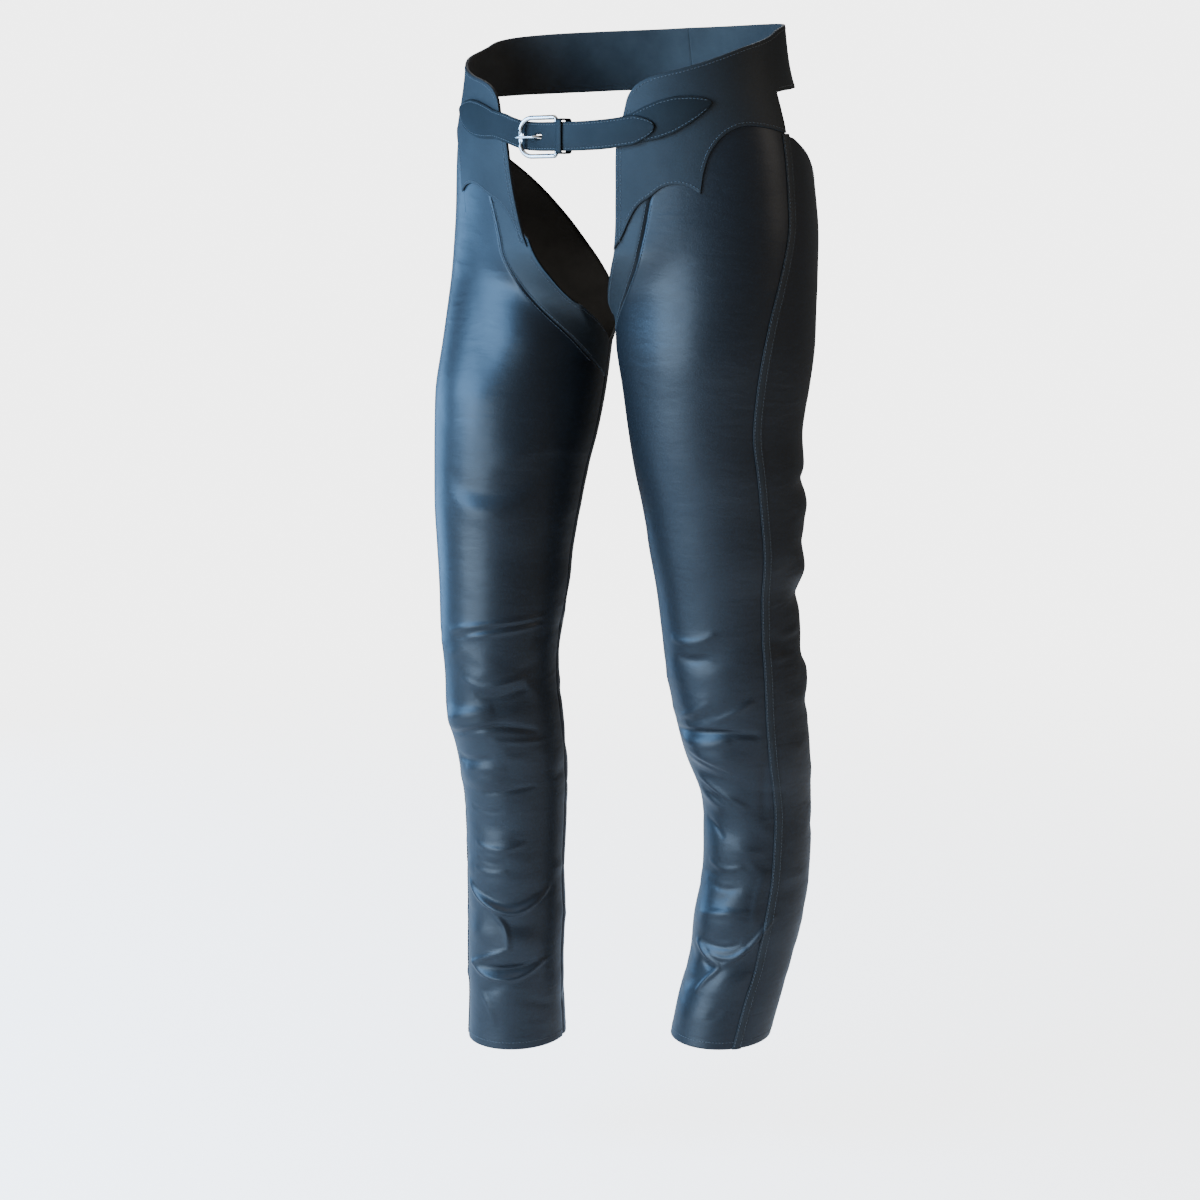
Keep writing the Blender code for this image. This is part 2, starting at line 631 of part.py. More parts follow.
def yoke_belt_line(side):
    return lambda x: smooth_between(BELT_LINE[side], abs(x))[0]


def add_buckle_strap(material):
    """The wearer's left end of the belt: its leaf, the strap, the turn round the bar and the sewn return."""
    middle_of = yoke_belt_line(LEFT)
    flat = STRAP_IN + STRAP_WALL / 2
    stations = [x for x, half in reversed(LEAF)] + even_steps(LEAF[0][0], BAR_X, 9)[1:]
    inner, outer = strap_skins(stations, middle_of, leaf_half, lambda x: flat)
    turn = flat - BAR_LIFT
    for skin, radius in ((inner, turn - STRAP_WALL / 2), (outer, turn + STRAP_WALL / 2)):
        for step in range(1, TURN_STEPS + 1):
            angle = math.pi * step / TURN_STEPS
            x = BAR_X - radius * math.sin(angle)
            skin.append(strap_row(x, middle_of(BAR_X), BELT_HALF, BAR_LIFT + radius * math.cos(angle)))
        for x in even_steps(BAR_X, RETURN_END_X, 3)[1:]:
            skin.append(strap_row(x, middle_of(x), BELT_HALF, BAR_LIFT - radius))
    strap = add_wall("buckle_strap", inner, outer, material)
    bar = Vector((BAR_X, belly_point(BAR_X, BUCKLE_Z, BAR_LIFT).y, middle_of(BAR_X)))
    cut_box(strap, bar, (2 * (turn + STRAP_WALL) + 2 * MM, 4 * turn, SLOT_WIDTH))


def free_end_lift(x):
    lifts = [(across, lift * MM) for across, lift in FREE_END]
    return smooth_between(lifts, min(max(x, lifts[0][0]), lifts[-1][0]))[0]


def free_end_middle(x):
    if x < 0:
        return smooth_between(BELT_LINE[RIGHT], abs(x))[0]
    return smooth_between(FREE_END_LINE, x)[0]


def free_end_half(x):
    if x < 0:
        return leaf_half(x)
    left = max(FREE_END_TIP - x, 0)
    return BELT_HALF * min(1, math.sqrt(left / FREE_END_POINT) + 0.04)


def add_free_end(material):
    """The wearer's right end: its leaf, the strap through the buckle and the point beyond it."""
    point_from = FREE_END_TIP - FREE_END_POINT
    stations = [-x for x, half in reversed(LEAF)] + even_steps(-LEAF[0][0], BENDS_FROM, 4)[1:]
    stations += even_steps(BENDS_FROM, BENDS_TO, 14)[1:] + even_steps(BENDS_TO, point_from, 5)[1:]
    stations += [FREE_END_TIP - FREE_END_POINT * share for share in (0.7, 0.45, 0.22, 0.07, 0.0)]
    inner, outer = strap_skins(stations, free_end_middle, free_end_half, free_end_lift)
    strap = add_wall("free_strap", inner, outer, material)
    spare_x = PRONG_HOLE_X - HOLE_PITCH
    holes = [(PRONG_HOLE_X, PRONG_HOLE_LENGTH, SLOT_WIDTH), (spare_x, SPARE_HOLE, SPARE_HOLE)]
    for x, length, height in holes:
        middle = Vector((x, belly_point(x, BUCKLE_Z, free_end_lift(x)).y, free_end_middle(x)))
        cut_box(strap, middle, (length, CUT_DEPTH, height))


def cut_box(piece, middle, size):
    """Cuts a square-cornered slot through a strap."""
    builder = bmesh.new()
    bmesh.ops.create_cube(builder, size=1)
    bmesh.ops.scale(builder, vec=size, verts=builder.verts)
    bmesh.ops.translate(builder, vec=middle, verts=builder.verts)
    mesh = bpy.data.meshes.new(piece.name + "_cutter")
    builder.to_mesh(mesh)
    builder.free()
    cutter = bpy.data.objects.new(mesh.name, mesh)
    bpy.context.scene.collection.objects.link(cutter)
    cutter.hide_render = True
    cutter.display_type = "WIRE"
    cut = piece.modifiers.new("slot", "BOOLEAN")
    cut.operation = "DIFFERENCE"
    cut.object = cutter


def tube_along(name, points, radii, closed, material):
    """A round wire along a list of points, with its radius at each of them."""
    curve = bpy.data.curves.new(name, "CURVE")
    curve.dimensions = "3D"
    curve.bevel_depth = 1
    curve.bevel_resolution = 2
    curve.use_fill_caps = True
    spline = curve.splines.new("POLY")
    spline.points.add(len(points) - 1)
    for target, point, radius in zip(spline.points, points, radii):
        target.co = (*point, 1)
        target.radius = radius
    spline.use_cyclic_u = closed
    curve.materials.append(material)
    wire = bpy.data.objects.new(name, curve)
    bpy.context.scene.collection.objects.link(wire)
    return wire


def buckle_point(x, rise, lift):
    """A place on the buckle's plane, which leans down a little towards its round end."""
    return Vector((x, belly_point(0, BUCKLE_Z, 0).y - lift, BUCKLE_Z + BUCKLE_TILT * (BAR_X - x) + rise))


def add_buckle_frame(material):
    """A wire frame with a straight bar and a rounded far end that rests over the strap."""
    bar_half = FRAME_HALF_HEIGHT - BAR_BEND
    bar = [(BAR_X, rise) for rise in even_steps(-bar_half, bar_half, 4)]
    upper = [(BAR_X - BAR_BEND, FRAME_HALF_HEIGHT)]
    for step in range(CORNER_STEPS + 1):
        angle = math.radians(90 + 90 * step / CORNER_STEPS)
        x = ROUND_END_X + FRAME_CORNER + FRAME_CORNER * math.cos(angle)
        upper.append((x, FRAME_HALF_HEIGHT - FRAME_CORNER + FRAME_CORNER * math.sin(angle)))
    lower = [(x, -rise) for x, rise in reversed(upper)]
    slope = (ROUND_END_LIFT - BAR_LIFT) / (BAR_X - ROUND_END_X)
    outline = bar + upper + [(ROUND_END_X, 0)] + lower
    points = [buckle_point(x, rise, BAR_LIFT + slope * (BAR_X - x)) for x, rise in outline]
    radii = [BAR_RADIUS] * len(bar) + [FRAME_RADIUS] * (len(outline) - len(bar))
    tube_along("buckle_frame", points, radii, True, material)


def add_prong(material):
    """The prong: an open ring round the bar, a rise through the strap's hole and a tip on the round end."""
    ring = BAR_RADIUS + SEAM_GAP + PRONG_RADIUS
    path = []
    for step in range(PRONG_RING_STEPS + 1):
        angle = math.radians(PRONG_RING_START + PRONG_RING_TURN * step / PRONG_RING_STEPS)
        path.append((BAR_X + ring * math.cos(angle), BAR_LIFT + ring * math.sin(angle)))
    top = BAR_LIFT + ring
    rest = ROUND_END_LIFT + FRAME_RADIUS + PRONG_RADIUS + SEAM_GAP
    path += [
        (BAR_X - 3 * MM, top),
        (BAR_X - 9 * MM, top + 0.1 * MM),
        (PRONG_HOLE_X + 2.2 * MM, top + 0.8 * MM),
        (PRONG_HOLE_X - 1.6 * MM, rest - 1.2 * MM),
        (PRONG_HOLE_X - 4 * MM, rest + 0.1 * MM),
        (ROUND_END_X + 3 * MM, rest + 0.2 * MM),
        (ROUND_END_X - 3 * MM, rest),
    ]
    points = [buckle_point(x, 0, lift) for x, lift in path]
    tube_along("buckle_prong", points, [PRONG_RADIUS] * len(points), False, material)


def add_keeper(material):
    """The loop that holds the free end down."""
    low, high = KEEPER_LIFTS
    builder = bmesh.new()
    rings = []
    for wall in (0, KEEPER_WALL):
        half = KEEPER_HALF + wall
        corners = [(-half, low - wall), (half, low - wall), (half, high + wall), (-half, high + wall)]
        for x in KEEPER_X:
            rings.append([builder.verts.new(buckle_point(x, rise, lift)) for rise, lift in corners])
    for near, far in ((0, 1), (3, 2), (2, 0), (1, 3)):
        for corner in range(4):
            after = (corner + 1) % 4
            face = (rings[near][corner], rings[near][after], rings[far][after], rings[far][corner])
            builder.faces.new(face)
    add_object("keeper", builder, material)


for old in list(bpy.data.objects):
    bpy.data.objects.remove(old)
finishes = {name: make_material(name) for name in COLOURS}
for chap_side in (LEFT, RIGHT):
    add_chap(chap_side, finishes)
add_buckle_strap(finishes["belt_leather"])
add_free_end(finishes["belt_leather"])
add_keeper(finishes["belt_leather"])
add_buckle_frame(finishes["nickel"])
add_prong(finishes["nickel"])
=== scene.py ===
import math

import bmesh
import bpy
import numpy as np
from mathutils import Matrix, Vector


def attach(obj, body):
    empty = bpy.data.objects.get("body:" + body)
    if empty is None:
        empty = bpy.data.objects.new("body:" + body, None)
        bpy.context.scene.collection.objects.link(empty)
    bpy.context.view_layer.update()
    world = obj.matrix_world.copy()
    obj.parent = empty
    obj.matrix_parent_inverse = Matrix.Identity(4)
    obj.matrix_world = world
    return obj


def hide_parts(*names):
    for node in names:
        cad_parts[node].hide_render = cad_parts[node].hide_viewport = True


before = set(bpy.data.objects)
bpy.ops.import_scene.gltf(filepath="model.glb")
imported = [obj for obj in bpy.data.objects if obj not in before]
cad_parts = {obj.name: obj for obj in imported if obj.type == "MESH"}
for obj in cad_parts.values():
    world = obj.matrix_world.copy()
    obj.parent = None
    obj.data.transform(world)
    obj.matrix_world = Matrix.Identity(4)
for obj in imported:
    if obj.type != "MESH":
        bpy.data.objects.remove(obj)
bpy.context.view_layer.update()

# The hide. Smooth black cowhide with a soft shine on its grain side. The cut edges are dyed and
# duller, and the flesh side, which faces the wearer, is a napped dark grey.
MM = 0.001
HIDE_BLACK = (0.0065, 0.0070, 0.0080)
HIDE_WORN = (0.012, 0.0135, 0.0155)
FLESH_DARK = (0.030, 0.028, 0.025)
FLESH_PALE = (0.060, 0.056, 0.050)
EDGE_DARK = (0.007, 0.007, 0.007)
EDGE_PALE = (0.015, 0.0145, 0.014)
SHINE_DRIFT = 0.05
COAT_ROUGHNESS = 0.28


def set_inputs(tree, node, **sockets):
    """Gives a node's sockets numbers, or links them from other nodes' sockets."""
    for title, value in sockets.items():
        socket = node.inputs[title.replace("_", " ")]
        if isinstance(value, bpy.types.NodeSocket):
            tree.links.new(value, socket)
        else:
            socket.default_value = value


def add_node(tree, kind, **sockets):
    made = tree.nodes.new(kind)
    set_inputs(tree, made, **sockets)
    return made


def object_place(tree):
    return tree.nodes.new("ShaderNodeTexCoord").outputs["Object"]


def multiplied(tree, kind, first, second):
    """The product of two numbers or two vectors."""
    made = tree.nodes.new(kind)
    made.operation = "MULTIPLY"
    tree.links.new(first, made.inputs[0])
    tree.links.new(second, made.inputs[1])
    return made.outputs[0]


def start_group(name, numbers, output):
    """A shader node group with one output, and the sockets that give its numbers."""
    group = bpy.data.node_groups.new(name, "ShaderNodeTree")
    for title, value in numbers:
        socket = group.interface.new_socket(title, in_out="INPUT", socket_type="NodeSocketFloat")
        socket.default_value = value
    group.interface.new_socket(output, in_out="OUTPUT", socket_type="NodeSocketFloat")
    return group, group.nodes.new("NodeGroupInput").outputs


def end_group(group, value):
    group.links.new(value, group.nodes.new("NodeGroupOutput").inputs[0])
    return group


def make_grain_group():
    """Pebbles of the hide's grain side, as a height from 0 to 1."""
    group, given = start_group("hide_grain", [("Pebbles per Metre", 900)], "Height")
    place = object_place(group)
    pebbles = add_node(group, "ShaderNodeTexVoronoi", Vector=place, Scale=given["Pebbles per Metre"])
    pebbles.feature = "SMOOTH_F1"
    patches = add_node(group, "ShaderNodeTexNoise", Vector=place, Scale=260, Detail=4)
    return end_group(group, multiplied(group, "ShaderNodeMath", pebbles.outputs["Distance"],
                                       patches.outputs["Fac"]))


def make_wear_group():
    """Soft patches where the finish is handled more, from 0 to 1."""
    group, given = start_group("handling_wear", [("Patches per Metre", 9)], "Mask")
    patches = add_node(group, "ShaderNodeTexNoise", Vector=object_place(group),
                       Scale=given["Patches per Metre"], Detail=5, Roughness=0.6)
    spread = add_node(group, "ShaderNodeMapRange", Value=patches.outputs["Fac"],
                      From_Min=0.35, From_Max=0.68)
    return end_group(group, spread.outputs["Result"])


def make_ripple_group():
    """Small creases that run across the length of a leg, as a height from 0 to 1."""
    numbers = [("Ripples per Metre", 34), ("Stretch", 3.2)]
    group, given = start_group("cross_ripples", numbers, "Height")
    squeeze = add_node(group, "ShaderNodeCombineXYZ", X=1, Y=1, Z=given["Stretch"])
    scaled = multiplied(group, "ShaderNodeVectorMath", object_place(group), squeeze.outputs["Vector"])
    ripples = add_node(group, "ShaderNodeTexNoise", Vector=scaled, Scale=given["Ripples per Metre"],
                       Detail=3, Roughness=0.45, Distortion=0.4)
    return end_group(group, ripples.outputs["Fac"])


GRAIN = make_grain_group()
WEAR = make_wear_group()
RIPPLES = make_ripple_group()


def new_material(name):
    """A material, its node tree and its shader."""
    material = bpy.data.materials.new(name)
    material.use_nodes = True
    return material, material.node_tree, material.node_tree.nodes["Principled BSDF"]


def mixed_colour(tree, share, first, second):
    """A colour between two colours, at a share from 0 to 1."""
    mix = tree.nodes.new("ShaderNodeMix")
    mix.data_type = "RGBA"
    set_inputs(tree, mix, A=(*first, 1), B=(*second, 1), Factor=share)
    return mix.outputs["Result"]


def make_leather(name, dark, pale, roughness, pebbles, grain_depth, ripple_depth, coat=0.0, gloss=0.5):
    """A leather whose colour and shine drift with wear, over grain and small creases."""
    material, tree, shader = new_material(name)
    wear, grain, ripples = (tree.nodes.new("ShaderNodeGroup") for _ in range(3))
    wear.node_tree, grain.node_tree, ripples.node_tree = WEAR, GRAIN, RIPPLES
    grain.inputs["Pebbles per Metre"].default_value = pebbles
    worn = wear.outputs["Mask"]
    shine = add_node(tree, "ShaderNodeMapRange", Value=worn, To_Min=roughness + SHINE_DRIFT,
                     To_Max=roughness - SHINE_DRIFT)
    creased = add_node(tree, "ShaderNodeBump", Height=ripples.outputs["Height"], Distance=ripple_depth)
    grained = add_node(tree, "ShaderNodeBump", Height=grain.outputs["Height"], Distance=grain_depth,
                       Normal=creased.outputs["Normal"])
    set_inputs(tree, shader, Base_Color=mixed_colour(tree, worn, dark, pale),
               Roughness=shine.outputs["Result"], Normal=grained.outputs["Normal"],
               Specular_IOR_Level=gloss, Coat_Weight=coat, Coat_Roughness=COAT_ROUGHNESS)
    return material


HIDE = make_leather("black_hide", HIDE_BLACK, HIDE_WORN, 0.47, 900, 0.10 * MM, 0.65 * MM, 0.18, 0.42)
FLESH = make_leather("flesh_side", FLESH_DARK, FLESH_PALE, 0.88, 2200, 0.16 * MM, 0.2 * MM)
CUT_EDGE = make_leather("dyed_edge", EDGE_DARK, EDGE_PALE, 0.62, 1800, 0.08 * MM, 0.0)

# The front and back panel of each leg. Two hides sewn into a close tube from the crotch to the hem,
# with a deep scoop under the seat, and creased where the leg bends.
LEFT = 1
RIGHT = -1
SIDE_NAMES = {LEFT: "left", RIGHT: "right"}
SEAM_GAP = 0.3 * MM
SEAM_MEET = 0.1 * MM
LEG_WALL = 1.6 * MM
EDGE_SOFTNESS = 0.45 * MM
EDGE_SHARE = 0.15
SEAM_DRAW = 1.3 * MM
SEAM_DRAW_WIDTH = 2.3 * MM
TUCK = 7 * MM
CROTCH_Z = -0.190
HIP_Z = -0.095
HEM_Z = {LEFT: -0.872, RIGHT: -0.878}
STRIP_END_Z = -0.220
CREASED_TOP = -0.430
INNER_SEAM = -25
BACK_SEAM = 360 + INNER_SEAM

# Cross-sections of each leg: height, centre out from the midline, centre back, half width, half depth
LEG_SECTIONS = {
    RIGHT: [
        (-0.150, 0.093, -0.027, 0.0810, 0.0870),
        (-0.190, 0.093, -0.031, 0.0790, 0.0854),
        (-0.232, 0.093, -0.038, 0.0780, 0.0837),
        (-0.270, 0.092, -0.046, 0.0750, 0.0801),
        (-0.307, 0.092, -0.054, 0.0705, 0.0750),
        (-0.345, 0.091, -0.061, 0.0668, 0.0709),
        (-0.384, 0.091, -0.065, 0.0624, 0.0659),
        (-0.422, 0.090, -0.068, 0.0599, 0.0629),
        (-0.461, 0.090, -0.073, 0.0560, 0.0585),
        (-0.500, 0.089, -0.074, 0.0530, 0.0550),
        (-0.541, 0.089, -0.070, 0.0536, 0.0562),
        (-0.583, 0.088, -0.061, 0.0512, 0.0541),
        (-0.624, 0.088, -0.056, 0.0484, 0.0516),
        (-0.666, 0.088, -0.055, 0.0460, 0.0495),
        (-0.707, 0.088, -0.056, 0.0446, 0.0485),
        (-0.749, 0.088, -0.055, 0.0448, 0.0492),
        (-0.790, 0.088, -0.057, 0.0440, 0.0486),
        (-0.833, 0.088, -0.056, 0.0436, 0.0484),
        (-0.880, 0.088, -0.056, 0.0451, 0.0504),
    ],
    LEFT: [
        (-0.150, 0.093, 0.021, 0.0900, 0.0970),
        (-0.188, 0.093, 0.022, 0.0879, 0.0950),
        (-0.225, 0.093, 0.023, 0.0830, 0.0894),
        (-0.263, 0.092, 0.024, 0.0780, 0.0836),
        (-0.301, 0.092, 0.031, 0.0764, 0.0815),
        (-0.340, 0.092, 0.038, 0.0729, 0.0773),
        (-0.379, 0.092, 0.044, 0.0705, 0.0747),
        (-0.418, 0.091, 0.048, 0.0655, 0.0688),
        (-0.458, 0.091, 0.054, 0.0642, 0.0671),
        (-0.499, 0.092, 0.061, 0.0645, 0.0670),
        (-0.541, 0.094, 0.068, 0.0620, 0.0650),
        (-0.583, 0.097, 0.076, 0.0583, 0.0618),
        (-0.627, 0.100, 0.087, 0.0514, 0.0547),
        (-0.669, 0.101, 0.089, 0.0503, 0.0543),
        (-0.711, 0.100, 0.088, 0.0500, 0.0543),
        (-0.750, 0.096, 0.084, 0.0512, 0.0565),
        (-0.790, 0.091, 0.080, 0.0487, 0.0538),
        (-0.828, 0.085, 0.071, 0.0480, 0.0533),
        (-0.880, 0.079, 0.058, 0.0463, 0.0516),
    ],
}

# Cross-sections of the hips: height, half width, depth in front, depth behind, centre back
HIP_SECTIONS = [
    (-0.200, 0.188, 0.107, 0.136, 0.006),
    (-0.100, 0.190, 0.106, 0.132, 0.012),
    (-0.065, 0.189, 0.105, 0.127, 0.013),
    (0.000, 0.182, 0.101, 0.120, 0.008),
    (0.060, 0.166, 0.095, 0.108, 0.002),
    (0.110, 0.161, 0.092, 0.101, -0.001),
]
BELLY_SQUARENESS = 2.3
SEAT_SQUARENESS = 2.0
HIP_SHARE = 0.5
HIP_SWING = 8
HIP_SPAN = (-0.240, -0.065)
SPANNED_FRONT = (38, 75)
SPANNED_BACK = (190, 250)

# Cut lines: height, wrap angle round the leg (0 inner side, 90 front, 180 outer side)
OPENING_EDGE = {
    RIGHT: [
        (STRIP_END_Z, -25), (CROTCH_Z, -25), (-0.178, -21), (-0.165, -14), (-0.155, -6), (-0.142, 4),
        (-0.120, 9), (-0.104, 12.5), (-0.083, 18), (-0.056, 23), (-0.030, 26.5), (0.000, 30),
        (0.021, 36), (0.030, 38),
    ],
    LEFT: [
        (STRIP_END_Z, -25), (CROTCH_Z, -25), (-0.182, -19), (-0.170, -4), (-0.156, 11), (-0.137, 22),
        (-0.105, 27.5), (-0.090, 28.5), (-0.050, 29), (0.000, 31), (0.021, 36), (0.030, 38),
    ],
}
STRIP_LINE = {
    RIGHT: [
        (STRIP_END_Z, -24.4), (-0.208, -10), (-0.195, 4), (-0.178, 17), (-0.159, 26), (-0.140, 30),
        (-0.120, 31), (-0.092, 34), (-0.072, 38.5), (-0.050, 44),
    ],
    LEFT: [
        (STRIP_END_Z, -24.4), (-0.212, -8), (-0.200, 10), (-0.182, 28), (-0.160, 38), (-0.140, 40.5),
        (-0.119, 41), (-0.100, 42), (-0.082, 44), (-0.065, 46), (-0.050, 48),
    ],
}
OUTER_SEAM = [
    (-0.880, 146), (-0.760, 146), (-0.650, 149), (-0.545, 152), (-0.400, 158), (-0.260, 155),
    (-0.070, 154), (0.005, 157),
]
SEAT_EDGE = [
    (STRIP_END_Z, 335), (CROTCH_Z, 335), (-0.182, 326), (-0.166, 308), (-0.140, 288),
    (-0.105, 266), (-0.070, 246), (-0.038, 222), (-0.015, 196), (0.000, 170),
]
SEAT_CORNER_RISE = 4 * MM
# Side of the scallop over the thigh strip: share of the strip's width, height
STRIP_TOP = [(0.0, -0.096), (0.2, -0.086), (0.4, -0.071), (0.6, -0.060), (0.8, -0.054), (1.0, -0.050)]
# The two scallops, which meet in a cusp: wrap angle, height
FIRST_SCALLOP = [(56, -0.0415), (64, -0.0390), (72, -0.0410), (79, -0.0470)]
SECOND_SCALLOP = [
    (79, -0.0470), (81, -0.0340), (84, -0.0215), (89, -0.0095), (97, 0.0010), (108, 0.0085),
    (120, 0.0110), (138, 0.0092), (157, 0.0050),
]
CUSP = FIRST_SCALLOP[-1][0]
CUSP_WRAPS = (78.3, CUSP, 79.6, 81)
YOKE_END = SECOND_SCALLOP[-1][0]

# Folds: wrap angle and height of the middle, reach to each side in degrees, rise, width, sag at the
# ends and tilt across in millimetres. A negative rise is a trough.
FOLDS = {
    RIGHT: [
        (65, -0.323, 44, -2.0, 11, -20, 0), (65, -0.338, 44, 1.8, 13, -18, 0),
        (45, -0.286, 24, 1.2, 12, 0, -6), (64, -0.498, 46, 1.4, 12, -6, 0),
        (50, -0.524, 40, -1.8, 9, 0, -6), (94, -0.545, 50, 4.8, 13, 0, -6),
        (56, -0.576, 60, 1.8, 14, 0, 0), (86, -0.602, 44, 3.4, 12, 0, 0),
        (70, -0.628, 60, 1.0, 12, 0, 0), (74, -0.652, 44, -1.0, 8, 0, 0),
        (72, -0.680, 46, 1.6, 12, 4, 0), (60, -0.722, 56, -2.4, 9, -14, 0),
        (44, -0.766, 44, 1.6, 12, 0, 6), (94, -0.762, 34, 1.6, 12, 0, 0),
        (58, -0.795, 46, -2.6, 9, -6, 0), (60, -0.832, 60, 1.4, 16, 0, 0),
        (-62, -0.425, 40, -3.0, 11, 6, 0), (-64, -0.480, 40, -3.0, 10, 5, 4),
        (-60, -0.575, 44, -2.4, 11, 6, 0), (250, -0.452, 56, -3.0, 12, 8, 4),
        (256, -0.476, 56, 2.6, 12, 8, 2), (252, -0.500, 52, -3.2, 11, 4, -4),
        (246, -0.532, 50, 2.2, 12, -6, 0), (238, -0.735, 44, -2.2, 10, -8, 3),
        (232, -0.792, 46, -2.4, 10, -8, -3),
    ],
    LEFT: [
        (94, -0.463, 40, 1.6, 11, 0, 2), (98, -0.480, 34, -1.6, 9, 0, 3),
        (84, -0.500, 60, 1.0, 14, 0, 0), (92, -0.524, 46, 1.8, 12, 0, 8),
        (92, -0.574, 50, 5.0, 14, 0, -4), (94, -0.598, 50, -1.6, 9, 0, -14),
        (88, -0.624, 46, 3.4, 11, 0, -14), (84, -0.652, 40, -1.0, 8, 0, -8),
        (90, -0.676, 52, 1.2, 14, 0, 0), (92, -0.704, 50, -1.0, 9, -4, 0),
        (90, -0.742, 56, 2.4, 14, 0, 6), (100, -0.764, 46, -1.6, 7, -6, 8),
        (118, -0.806, 50, 2.0, 15, 0, 14), (80, -0.842, 60, 1.2, 14, 0, 0),
        (130, -0.640, 44, 1.0, 16, 0, 6), (128, -0.700, 44, 1.0, 14, 0, -6),
        (212, -0.312, 34, -3.2, 9, 0, 4), (214, -0.336, 38, 2.4, 12, 0, 4),
        (214, -0.372, 38, -2.0, 10, 0, -4), (212, -0.398, 38, 2.4, 11, 0, 0),
        (212, -0.424, 40, -3.0, 10, 0, 4), (236, -0.476, 50, -3.0, 11, 8, 0),
        (240, -0.500, 50, 2.6, 12, 8, 0), (238, -0.526, 50, -3.0, 11, 6, 4),
        (-56, -0.500, 40, -2.4, 11, 6, 0), (-58, -0.560, 40, -2.4, 11, 6, 4),
        (236, -0.745, 44, -2.2, 10, -8, 3), (230, -0.790, 44, -2.2, 10, -8, -3),
    ],
}
